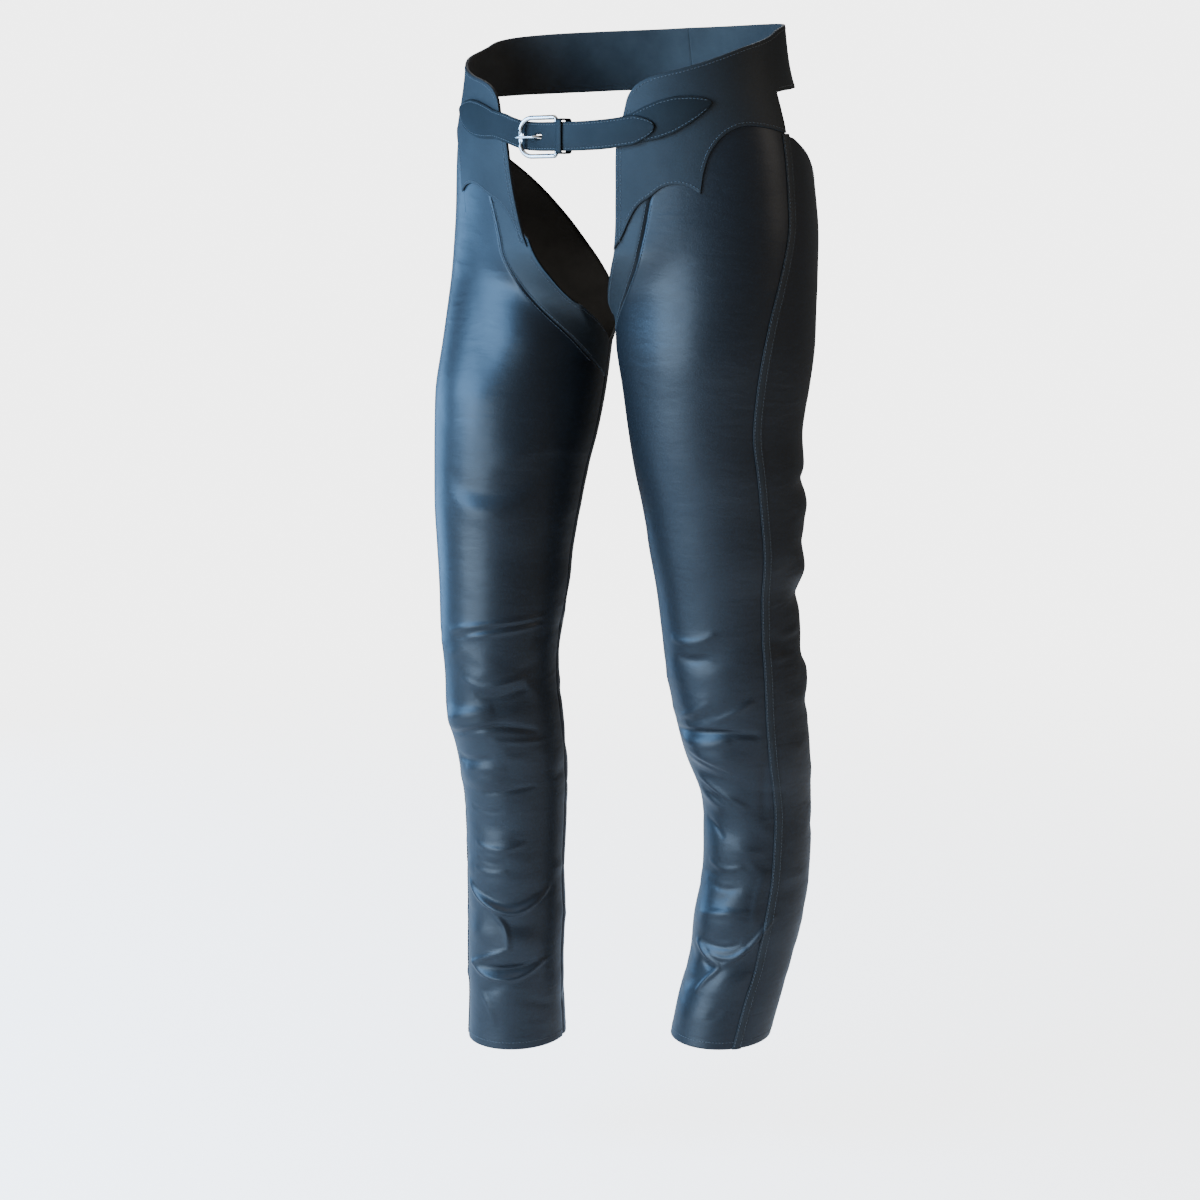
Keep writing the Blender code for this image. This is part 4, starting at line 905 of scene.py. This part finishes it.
def yoke_edges(side):
    """The lower edge of a yoke and its band, and the places of the top edge above each of its points."""
    over_strip = strip_top_line(side, 18)[:-1]
    scallops = scallop_line(side)
    band_wraps = np.linspace(BAND_BOTTOM[0][0], BAND_BOTTOM[-1][0], BAND_COUNT)
    band = np.stack([band_wraps, table_at(BAND_BOTTOM, band_wraps)], -1)
    bottom = np.concatenate([over_strip, scallops, RISER, band])
    start, length = scallops[0, 0], YOKE_END - scallops[0, 0]
    front = np.linspace(OPENING_EDGE[side][-1][1], start + TOP_LEAD, len(over_strip) + 1)[:-1]
    after = start + TOP_LEAD + (scallops[:, 0] - start) * (length - TOP_LEAD) / length
    top_wraps = np.concatenate([front, after, RISER[:, 0], band_wraps])
    return bottom, np.stack([top_wraps, table_at(YOKE_TOP, top_wraps)], -1)


def yoke_places(side):
    bottom, top = yoke_edges(side)
    v = np.linspace(0, 1, 40)
    left = places_on(OPENING_EDGE[side], bottom[0, 1] + (OPENING_EDGE[side][-1][0] - bottom[0, 1]) * v)
    right = between(bottom[-1], top[-1], v)
    top[0] = left[-1]
    u = np.linspace(0, 1, len(bottom))
    return blend_patch(bottom, top, left, right, u, v)


def yoke_lap(places):
    """The lift of a yoke's inner face where it lies over the leg: a margin above its lower edge."""
    rise = places[..., 1] - places[:1, :, 1]
    near = smooth_share(TUCK + 4.5 * MM - rise, 0, 3 * MM)
    return 1.5 * MM * near * (places[:1, :, 0] < YOKE_END + 0.6)


for side, side_name in SIDE_NAMES.items():
    piece = add_panel(f"yoke_hide_{side_name}", side, yoke_places(side), YOKE_IN, YOKE_OUT,
                      (YOKE_HIDE, FLESH, CUT_EDGE), (), yoke_lap)
    put_on(piece, "leather", f"yoke_{side_name}")
    bottom, top = yoke_edges(side)
    opening = line_of(OPENING_EDGE[side], -0.090, 0.027, 110)
    scallops = scallop_line(side)
    second = scallops[FIRST_COUNT:]
    rows = (
        (opening, -EDGE_INSET), (opening, -SECOND_ROW_INSET), (strip_top_line(side, 30)[3:], EDGE_INSET),
        (scallops[:FIRST_COUNT - 1], EDGE_INSET), (second[second[:, 0] > CUSP + 2.5], EDGE_INSET),
        (top[4:], -BAND_INSET), (bottom[2 - BAND_COUNT:], BAND_INSET),
    )
    lines = [sewn(side, places, YOKE_OUT, inset) for places, inset in rows]
    back_seam = np.stack([np.full(20, BACK_STITCHES), np.linspace(0.054, 0.102, 20)], -1)
    lines.append(sewn(side, back_seam, YOKE_OUT))
    add_thread(f"yoke_thread_{side_name}", lines)

# The belt. A 25 mm strap in two ends, each widened to a pointed leaf and sewn to its yoke. The left
# end turns round the buckle's bar and is sewn back; the right end is pulled through to a point.
STRAP_HIDE = make_leather("strap_hide", (0.0060, 0.0068, 0.0065), (0.012, 0.0132, 0.0126), 0.58, 1300,
                          0.12 * MM, 0.05 * MM, 0, 0.22)
STRAP_WALL = 2.0 * MM
STRAP_IN = 4.0 * MM
BELT_HALF = 12.7 * MM
LEAF_SINK = 0.45 * MM
LEAF_ON_YOKE = (0.080, 0.086)
# Height of the belt's middle for each distance from the midline
BELT_LINE = {
    RIGHT: [
        (0.0, 0.003), (0.020, 0.0032), (0.037, 0.0044), (0.050, 0.0075), (0.062, 0.0112), (0.085, 0.016),
        (0.112, 0.021), (0.135, 0.026), (0.150, 0.032),
    ],
    LEFT: [
        (0.0, 0.003), (0.030, 0.0033), (0.058, 0.0048), (0.075, 0.0080), (0.098, 0.0148),
        (0.120, 0.0215), (0.136, 0.027), (0.150, 0.033),
    ],
}
# The leaf at each end: distance from the midline, half width
LEAF = [
    (0.078, BELT_HALF), (0.090, 0.0150), (0.104, 0.0165), (0.116, 0.0158), (0.127, 0.0126),
    (0.135, 0.0085), (0.141, 0.0038), (0.1435, 0.0006),
]
BAR_X = -0.001
BAR_LIFT = 1.9 * MM
TURN_RADIUS = STRAP_IN + STRAP_WALL / 2 - BAR_LIFT
RETURN_END_X = 0.030
BUCKLE_Z = 0.003
PRONG_HOLE_X = -0.0165
HOLE_PITCH = 22 * MM
SLOT_WIDTH = 3.6 * MM
PRONG_SLOT = 9.7 * MM
SPARE_HOLE = 2.8 * MM
# Middle of the free end, from the right yoke through the buckle to its point: across, lift
FREE_END = [
    (-0.060, 5.0 * MM), (-0.045, 5.0 * MM), (-0.033, 5.0 * MM), (-0.024, 6.2 * MM), (-0.016, 7.7 * MM),
    (-0.007, 8.2 * MM), (0.000, 8.2 * MM), (0.009, 8.0 * MM), (0.020, 7.6 * MM), (0.060, 7.4 * MM),
]
FREE_END_LINE = [(0.0, 0.003), (0.030, 0.0033), (0.058, 0.0050), (0.075, 0.0070), (0.100, 0.0100)]
FREE_END_TIP = 0.101
FREE_END_POINT = 0.020
# Across a strap: share of the half width, how far its face is pressed in at the edge and the stitches
STRAP_FACE = [
    (-1.0, 0.45), (-0.965, 0.12), (-0.90, 0.0), (-0.86, 0.10), (-0.82, 0.22), (-0.78, 0.10),
    (-0.70, 0.0),
    (-0.35, -0.06), (0.0, -0.08), (0.35, -0.06), (0.70, 0.0), (0.78, 0.10), (0.82, 0.22), (0.86, 0.10),
    (0.90, 0.0), (0.965, 0.12), (1.0, 0.45),
]
STITCH_SHARE = 0.82
STITCH_INSET = 2.3 * MM
STITCH_SINK = 0.22 * MM


def belly(x, z):
    x, z = np.broadcast_arrays(np.asarray(x, float), np.asarray(z, float))
    half_width, depth, _, back = np.moveaxis(table_at(HIP_SECTIONS, z), -1, 0)
    share = 1 - (np.abs(x) / half_width) ** BELLY_SQUARENESS
    return np.stack([x, back - depth * share ** (1 / BELLY_SQUARENESS), z], -1)


def belly_point(x, z, lift):
    """Points in front of the hips for a signed distance from the midline, and the outward directions."""
    x, z = np.broadcast_arrays(np.asarray(x, float), np.asarray(z, float))
    along = belly(x + 0.8 * MM, z) - belly(x - 0.8 * MM, z)
    up = belly(x, z + 0.8 * MM) - belly(x, z - 0.8 * MM)
    outward = np.cross(along, up)
    outward /= np.linalg.norm(outward, axis=-1, keepdims=True)
    return belly(x, z) + outward * np.asarray(lift)[..., None], outward


def leaf_half(x):
    rows = np.array(LEAF)
    return np.interp(np.abs(x), rows[:, 0], rows[:, 1])


def add_strap(name, side, path, half):
    """A strap along the rows of a path. It sits deeper where its leaf lies on the yoke."""
    x, lift, face_x, face_lift, middle = (column[:, None] for column in path.T)
    share, press = np.array(STRAP_FACE).T[:, None]
    inside = STRAP_WALL / 2 + LEAF_SINK * smooth_share(side * x, *LEAF_ON_YOKE)
    inside = inside - 0.3 * MM * (np.abs(share) == 1)
    outside = STRAP_WALL / 2 - press * MM
    skins = [belly_point(x + out * face_x, middle + half[:, None] * share, lift + out * face_lift)[0]
             for out in (-inside, outside)]
    return add_wall(name, *skins, (STRAP_HIDE, FLESH, CUT_EDGE))


def sew_strap(name, path, half):
    """Stitches along both edges of a strap."""
    x, lift, face_x, face_lift, middle = path.T
    out = STRAP_WALL / 2 - STITCH_SINK
    reach = half * (1 - np.minimum(half * (1 - STITCH_SHARE), STITCH_INSET) / half)
    lines = [belly_point(x + out * face_x, middle + sign * reach, lift + out * face_lift)
             for sign in (-1, 1)]
    add_thread(name, lines, "belt_leather")


def slot_cutter(middle, length, width, depth):
    """A block with half-round ends, which cuts a slot through a strap from front to back."""
    builder = bmesh.new()
    bmesh.ops.create_cone(builder, segments=28, radius1=width / 2, radius2=width / 2, depth=depth,
                          cap_ends=True)
    bmesh.ops.rotate(builder, matrix=Matrix.Rotation(math.pi / 2, 3, "X"), verts=builder.verts)
    for vertex in builder.verts:
        vertex.co.x += math.copysign((length - width) / 2, vertex.co.x)
        vertex.co += Vector(middle)
    mesh = bpy.data.meshes.new("slot_cutter")
    builder.to_mesh(mesh)
    builder.free()
    return link("slot_cutter", mesh)


def punch(piece, cutters):
    """Cuts the slots and keeps the cut mesh on the piece."""
    for cutter in cutters:
        cut = piece.modifiers.new("slot", "BOOLEAN")
        cut.object = cutter
    ready = piece.evaluated_get(bpy.context.evaluated_depsgraph_get())
    cut_mesh = bpy.data.meshes.new_from_object(ready)
    piece.modifiers.clear()
    piece.data = cut_mesh
    for cutter in cutters:
        bpy.data.objects.remove(cutter)


def path_rows(x, lift, face_x, face_lift, middle):
    """Rows of x, lift, the way the face looks in x and lift, and the height of the strap's middle."""
    return np.stack(np.broadcast_arrays(x, lift, face_x, face_lift, middle), -1)


def left_end_path():
    """The left end: leaf, strap, turn round the bar and the return behind it."""
    line = BELT_LINE[LEFT]
    x = np.concatenate([np.linspace(0.1435, 0.122, 22), np.linspace(0.121, BAR_X, 70)])
    angle = np.linspace(0, math.pi, 28)[1:]
    across, out = np.sin(angle), np.cos(angle)
    back_x = np.linspace(BAR_X, RETURN_END_X, 24)[1:]
    return np.concatenate([
        path_rows(x, BAR_LIFT + TURN_RADIUS, 0, 1, table_at(line, x.clip(0))),
        path_rows(BAR_X - TURN_RADIUS * across, BAR_LIFT + TURN_RADIUS * out, -across, out,
                  table_at(line, 0.0)),
        path_rows(back_x, BAR_LIFT - TURN_RADIUS, 0, -1, table_at(line, back_x.clip(0))),
    ])


path = left_end_path()
buckle_end = add_strap("buckle_end_hide", LEFT, path, leaf_half(path[:, 0]))
bar_middle = (BAR_X, belly_point(BAR_X, BUCKLE_Z, BAR_LIFT)[0][1], table_at(BELT_LINE[LEFT], 0.0))
slot_length = 2 * (TURN_RADIUS + STRAP_WALL) + 2 * MM
punch(buckle_end, [slot_cutter(bar_middle, slot_length, SLOT_WIDTH, 4 * TURN_RADIUS)])
put_on(buckle_end, "belt_leather", "buckle_strap")
front = path[(path[:, 1] > STRAP_IN) & (path[:, 0] > 0)][3:]
sew_strap("buckle_end_thread", front, leaf_half(front[:, 0]))


def free_lift(x):
    return table_at(FREE_END, np.clip(x, FREE_END[0][0], FREE_END[-1][0]))


def free_half(x):
    left = np.maximum(FREE_END_TIP - x, 0)
    point = BELT_HALF * np.minimum(1, np.sqrt(left / FREE_END_POINT) + 0.04)
    return np.where(x < 0, leaf_half(x), point)


def free_end_path():
    """The right end: leaf, strap, the rise over the bar and the point."""
    x = np.concatenate([np.linspace(-0.1435, -0.122, 22), np.linspace(-0.121, 0.081, 120),
                        FREE_END_TIP - FREE_END_POINT * np.linspace(0.97, 0, 26) ** 1.5])
    lift = free_lift(x)
    slope = (free_lift(x + 0.5 * MM) - free_lift(x - 0.5 * MM)) / MM
    length = np.hypot(1, slope)
    right_line = table_at(BELT_LINE[RIGHT], np.abs(x))
    middle = np.where(x < 0, right_line, table_at(FREE_END_LINE, x))
    return path_rows(x, lift, -slope / length, 1 / length, middle)


path = free_end_path()
half = free_half(path[:, 0])
free_end = add_strap("free_end_hide", RIGHT, path, half)
cutters = []
for x, length, width in ((PRONG_HOLE_X, PRONG_SLOT, SLOT_WIDTH),
                         (PRONG_HOLE_X - HOLE_PITCH, SPARE_HOLE, SPARE_HOLE)):
    middle = (x, belly_point(x, BUCKLE_Z, free_lift(x))[0][1], table_at(BELT_LINE[RIGHT], abs(x)))
    cutters.append(slot_cutter(middle, length, width, 12 * MM))
punch(free_end, cutters)
put_on(free_end, "belt_leather", "free_strap")
sew_strap("free_end_thread", path[3:-3], half[3:-3])

# The keeper. A loop of strap leather round both layers of the belt, which holds the free end down.
KEEPER_X = (0.0050, 0.0115)
KEEPER_CORNER = 1.2 * MM
KEEPER_LIFTS = (-3.4 * MM, 9.3 * MM)
KEEPER_HALF = BELT_HALF + 1.3 * MM
# Across the keeper's strap: share of its width, height over its inner face in millimetres
KEEPER_PROFILE = [
    (0.0, 0.3), (0.0, 1.3), (0.06, 1.6), (0.3, 1.66), (0.5, 1.68), (0.7, 1.66), (0.94, 1.6), (1.0, 1.3),
    (1.0, 0.3), (0.94, 0.0), (0.5, 0.0), (0.06, 0.0),
]
BUCKLE_TILT = -0.02


def buckle_point(x, rise, lift):
    """Places on the buckle's plane, which leans down a little towards its round end."""
    x, rise, lift = np.broadcast_arrays(*(np.asarray(value, float) for value in (x, rise, lift)))
    front = belly(0.0, BUCKLE_Z)[1]
    return np.stack([x, front - lift, BUCKLE_Z + BUCKLE_TILT * (BAR_X - x) + rise], -1)


def rounded_loop(half_height, low, high, radius, steps):
    """Points and outward directions round a rectangle with round corners, as rise and lift."""
    points, facing = [], []
    corners = ((half_height, high), (-half_height, high), (-half_height, low), (half_height, low))
    for corner, (rise, lift) in enumerate(corners):
        centre = (rise - math.copysign(radius, rise), lift - (radius if lift == high else -radius))
        for step in range(steps + 1):
            angle = math.radians(90 * corner + 90 * step / steps)
            facing.append((math.cos(angle), math.sin(angle)))
            points.append((centre[0] + radius * math.cos(angle), centre[1] + radius * math.sin(angle)))
    return np.array(points), np.array(facing)


loop, facing = rounded_loop(KEEPER_HALF, *KEEPER_LIFTS, KEEPER_CORNER, 6)
rings = []
for share, out in KEEPER_PROFILE:
    at = loop + facing * (out * MM)
    rings.append(buckle_point(KEEPER_X[0] + share * (KEEPER_X[1] - KEEPER_X[0]), at[:, 0], at[:, 1]))
faces = ring_faces(len(rings), len(loop), True)
keeper = add_mesh("keeper_loop", np.array(rings), faces, [STRAP_HIDE])
put_on(keeper, "belt_leather", "keeper")

# The buckle. A nickel-plated wire frame with a round end, and a prong that turns on its bar and
# stands through the free end's hole.
BAR_RADIUS = 1.8 * MM
BAR_BEND = 2.5 * MM
ROUND_END_X = -0.037
FRAME_RADIUS = 2.1 * MM
ROUND_END_LIFT = 9.0 * MM
FRAME_HALF_HEIGHT = 17.0 * MM
FRAME_CORNER = 11.5 * MM
PRONG_RADIUS = 1.2 * MM
NICKEL_BRIGHT = (0.78, 0.76, 0.72)
NICKEL_RUBBED = (0.62, 0.60, 0.56)


def make_nickel():
    material, tree, shader = new_material("polished_nickel")
    noise = add_node(tree, "ShaderNodeTexNoise", Vector=object_place(tree), Scale=420, Detail=6)
    rubs = noise.outputs["Fac"]
    shine = add_node(tree, "ShaderNodeMapRange", Value=rubs, To_Min=0.14, To_Max=0.32)
    dents = add_node(tree, "ShaderNodeBump", Height=rubs, Distance=0.03 * MM)
    set_inputs(tree, shader, Base_Color=mixed_colour(tree, rubs, NICKEL_BRIGHT, NICKEL_RUBBED),
               Metallic=1, Roughness=shine.outputs["Result"], Normal=dents.outputs["Normal"])
    return material


NICKEL = make_nickel()


def add_wire(name, points, radii, closed, node):
    curve = bpy.data.curves.new(name, "CURVE")
    curve.dimensions = "3D"
    curve.bevel_depth = 1
    curve.bevel_resolution = 7
    curve.use_fill_caps = True
    spline = curve.splines.new("POLY")
    spline.points.add(len(points) - 1)
    for target, point, radius in zip(spline.points, points, radii):
        target.co = (*point, 1)
        target.radius = radius
    spline.use_cyclic_u = closed
    spline.use_smooth = True
    curve.materials.append(NICKEL)
    put_on(link(name, curve), "nickel", node)


def corner_points(centre_x, centre_rise, radius, start, end, steps):
    angles = np.radians(np.linspace(start, end, steps))
    return np.stack([centre_x + radius * np.cos(angles), centre_rise + radius * np.sin(angles)], -1)


bar_half = FRAME_HALF_HEIGHT - BAR_BEND
straight_x = np.linspace(BAR_X - BAR_BEND - 2 * MM, ROUND_END_X + FRAME_CORNER + 2 * MM, 8)
upper = np.concatenate([
    corner_points(BAR_X - BAR_BEND, bar_half, BAR_BEND, 0, 90, 8),
    np.stack([straight_x, np.full(8, FRAME_HALF_HEIGHT)], -1),
    corner_points(ROUND_END_X + FRAME_CORNER, FRAME_HALF_HEIGHT - FRAME_CORNER, FRAME_CORNER,
                  90, 180, 16),
])
bar = np.stack([np.full(10, BAR_X), np.linspace(-bar_half + 1 * MM, bar_half - 1 * MM, 10)], -1)
end = np.stack([np.full(6, ROUND_END_X), np.linspace(6 * MM, -6 * MM, 6)], -1)
outline = np.concatenate([bar, upper, end, upper[::-1] * (1, -1)])
slope = (ROUND_END_LIFT - BAR_LIFT) / (BAR_X - ROUND_END_X)
places = buckle_point(outline[:, 0], outline[:, 1], BAR_LIFT + slope * (BAR_X - outline[:, 0]))
frame_radii = np.where(outline[:, 0] > BAR_X - BAR_BEND / 2, BAR_RADIUS, FRAME_RADIUS)
add_wire("buckle_frame_wire", places, frame_radii, True, "buckle_frame")

ring = BAR_RADIUS + SEAM_GAP + PRONG_RADIUS
angles = np.radians(np.linspace(190, 450, 26))
top = BAR_LIFT + ring
rest = ROUND_END_LIFT + FRAME_RADIUS + PRONG_RADIUS + SEAM_GAP
shank = [
    (BAR_X - 3 * MM, top), (BAR_X - 9 * MM, top + 0.1 * MM), (PRONG_HOLE_X + 2.2 * MM, top + 0.8 * MM),
    (PRONG_HOLE_X - 1.6 * MM, rest - 1.2 * MM), (PRONG_HOLE_X - 4.0 * MM, rest + 0.1 * MM),
    (ROUND_END_X + 3 * MM, rest + 0.2 * MM), (ROUND_END_X - 3 * MM, rest),
]
shank_x = np.linspace(-shank[0][0], -shank[-1][0], 40)
shank_lift = table_at([(-x, lift) for x, lift in shank], shank_x)
prong_x = np.concatenate([BAR_X + ring * np.cos(angles), -shank_x])
prong_lift = np.concatenate([BAR_LIFT + ring * np.sin(angles), shank_lift])
prong_radii = np.full(len(prong_x), PRONG_RADIUS)
prong_radii[-4:] = PRONG_RADIUS * np.array([0.97, 0.9, 0.78, 0.5])
add_wire("prong_wire", buckle_point(prong_x, 0, prong_lift), prong_radii, False, "buckle_prong")

# The front and back panel of each leg, looked up once more; nothing further is made from them.
for side, side_name in SIDE_NAMES.items():
    front, back = leg_panels["front", side], leg_panels["back", side]

# The studio: a plain pale floor, soft bluish lights in front and to the wearer's right, weaker
# neutral ones at the other side, behind and above, and the camera.
FLOOR_Z = -0.990
CAMERA_TURN = 38
CAMERA_DISTANCE = 2.13
CAMERA_Z = -0.02
CAMERA_DIP = 11.0
CAMERA_ASIDE = math.atan(-22 / 2250)
LENS = 67.5
SENSOR = 36
FLOOR_RADIUS = 3
FLOOR_FADE = (0.7, 2.6)
FLOOR_GREY = (0.80, 0.80, 0.80)
FLOOR_PALE = (0.84, 0.84, 0.84)
# What shines on the object, and what the camera sees behind it
FLOOR_GLOW = (0.22, 3.4)
WORLD_GREY = (0.14, 0.14, 0.14)
WORLD_WHITE = (4.5, 4.5, 4.5)


def make_floor_material():
    """Pale floor that thins out to the white backdrop away from the object."""
    material, tree, shader = new_material("pale_floor")
    place = object_place(tree)
    far = tree.nodes.new("ShaderNodeVectorMath")
    far.operation = "LENGTH"
    tree.links.new(place, far.inputs[0])
    fade = add_node(tree, "ShaderNodeMapRange", Value=far.outputs["Value"], From_Min=FLOOR_FADE[0],
                    From_Max=FLOOR_FADE[1], To_Min=1, To_Max=0)
    fade.interpolation_type = "SMOOTHSTEP"
    mottle = add_node(tree, "ShaderNodeTexNoise", Vector=place, Scale=3, Detail=3).outputs["Fac"]
    seen = tree.nodes.new("ShaderNodeLightPath").outputs["Is Camera Ray"]
    glow = add_node(tree, "ShaderNodeMapRange", Value=seen, To_Min=FLOOR_GLOW[0], To_Max=FLOOR_GLOW[1])
    set_inputs(tree, shader, Base_Color=mixed_colour(tree, mottle, FLOOR_GREY, FLOOR_PALE),
               Alpha=fade.outputs["Result"], Emission_Strength=glow.outputs["Result"],
               Emission_Color=(1, 1, 1, 1), Roughness=0.9, Specular_IOR_Level=0.1)
    return material


builder = bmesh.new()
bmesh.ops.create_circle(builder, cap_ends=True, segments=96, radius=FLOOR_RADIUS)
mesh = bpy.data.meshes.new("floor")
builder.to_mesh(mesh)
builder.free()
mesh.materials.append(make_floor_material())
floor = link("floor", mesh)
floor.location.z = FLOOR_Z

world = bpy.data.worlds.new("studio")
bpy.context.scene.world = world
world.use_nodes = True
tree = world.node_tree
seen = tree.nodes.new("ShaderNodeLightPath").outputs["Is Camera Ray"]
set_inputs(tree, tree.nodes["Background"], Color=mixed_colour(tree, seen, WORLD_GREY, WORLD_WHITE))


def add_light(name, turn, distance, z, size, power, colour, aim=(0, 0, -0.42)):
    """A soft rectangular light at a turn round the object, aimed at it."""
    light = bpy.data.lights.new(name, "AREA")
    light.shape = "RECTANGLE"
    light.size, light.size_y = size
    light.energy = power
    light.color = colour
    lamp = link(name, light)
    angle = math.radians(turn)
    lamp.location = (distance * math.sin(angle), -distance * math.cos(angle), z)
    lamp.rotation_euler = (Vector(aim) - lamp.location).to_track_quat("-Z", "Y").to_euler()


add_light("window_side", -34, 1.7, 0.32, (1.3, 1.1), 74, (0.25, 0.54, 1.0), (0, 0, -0.60))
add_light("window_low", -12, 1.9, -0.50, (1.4, 0.9), 36, (0.55, 0.75, 1.0), (0, 0, -0.75))
add_light("window_far", -90, 1.9, -0.45, (1.1, 1.0), 22, (0.22, 0.52, 1.0), (0, 0, -0.60))
add_light("room_side", 105, 2.8, 0.6, (1.2, 1.8), 9, (1.0, 0.90, 0.80))
add_light("back_side", 215, 2.8, 0.8, (1.6, 1.8), 30, (0.92, 0.96, 1.0))
add_light("overhead", 38, 0.6, 2.4, (2.0, 2.0), 16, (1.0, 0.96, 0.92))

turn = math.radians(CAMERA_TURN)
dip = math.radians(CAMERA_DIP)
ahead = Vector((-math.sin(turn - CAMERA_ASIDE), math.cos(turn - CAMERA_ASIDE), 0))
forward = ahead * math.cos(dip) + Vector((0, 0, -1)) * math.sin(dip)
camera_data = bpy.data.cameras.new("camera")
camera_data.lens = LENS
camera_data.sensor_width = SENSOR
camera = link("camera", camera_data)
camera.location = (CAMERA_DISTANCE * math.sin(turn), -CAMERA_DISTANCE * math.cos(turn), CAMERA_Z)
camera.rotation_euler = forward.to_track_quat("-Z", "Y").to_euler()
bpy.context.scene.camera = camera
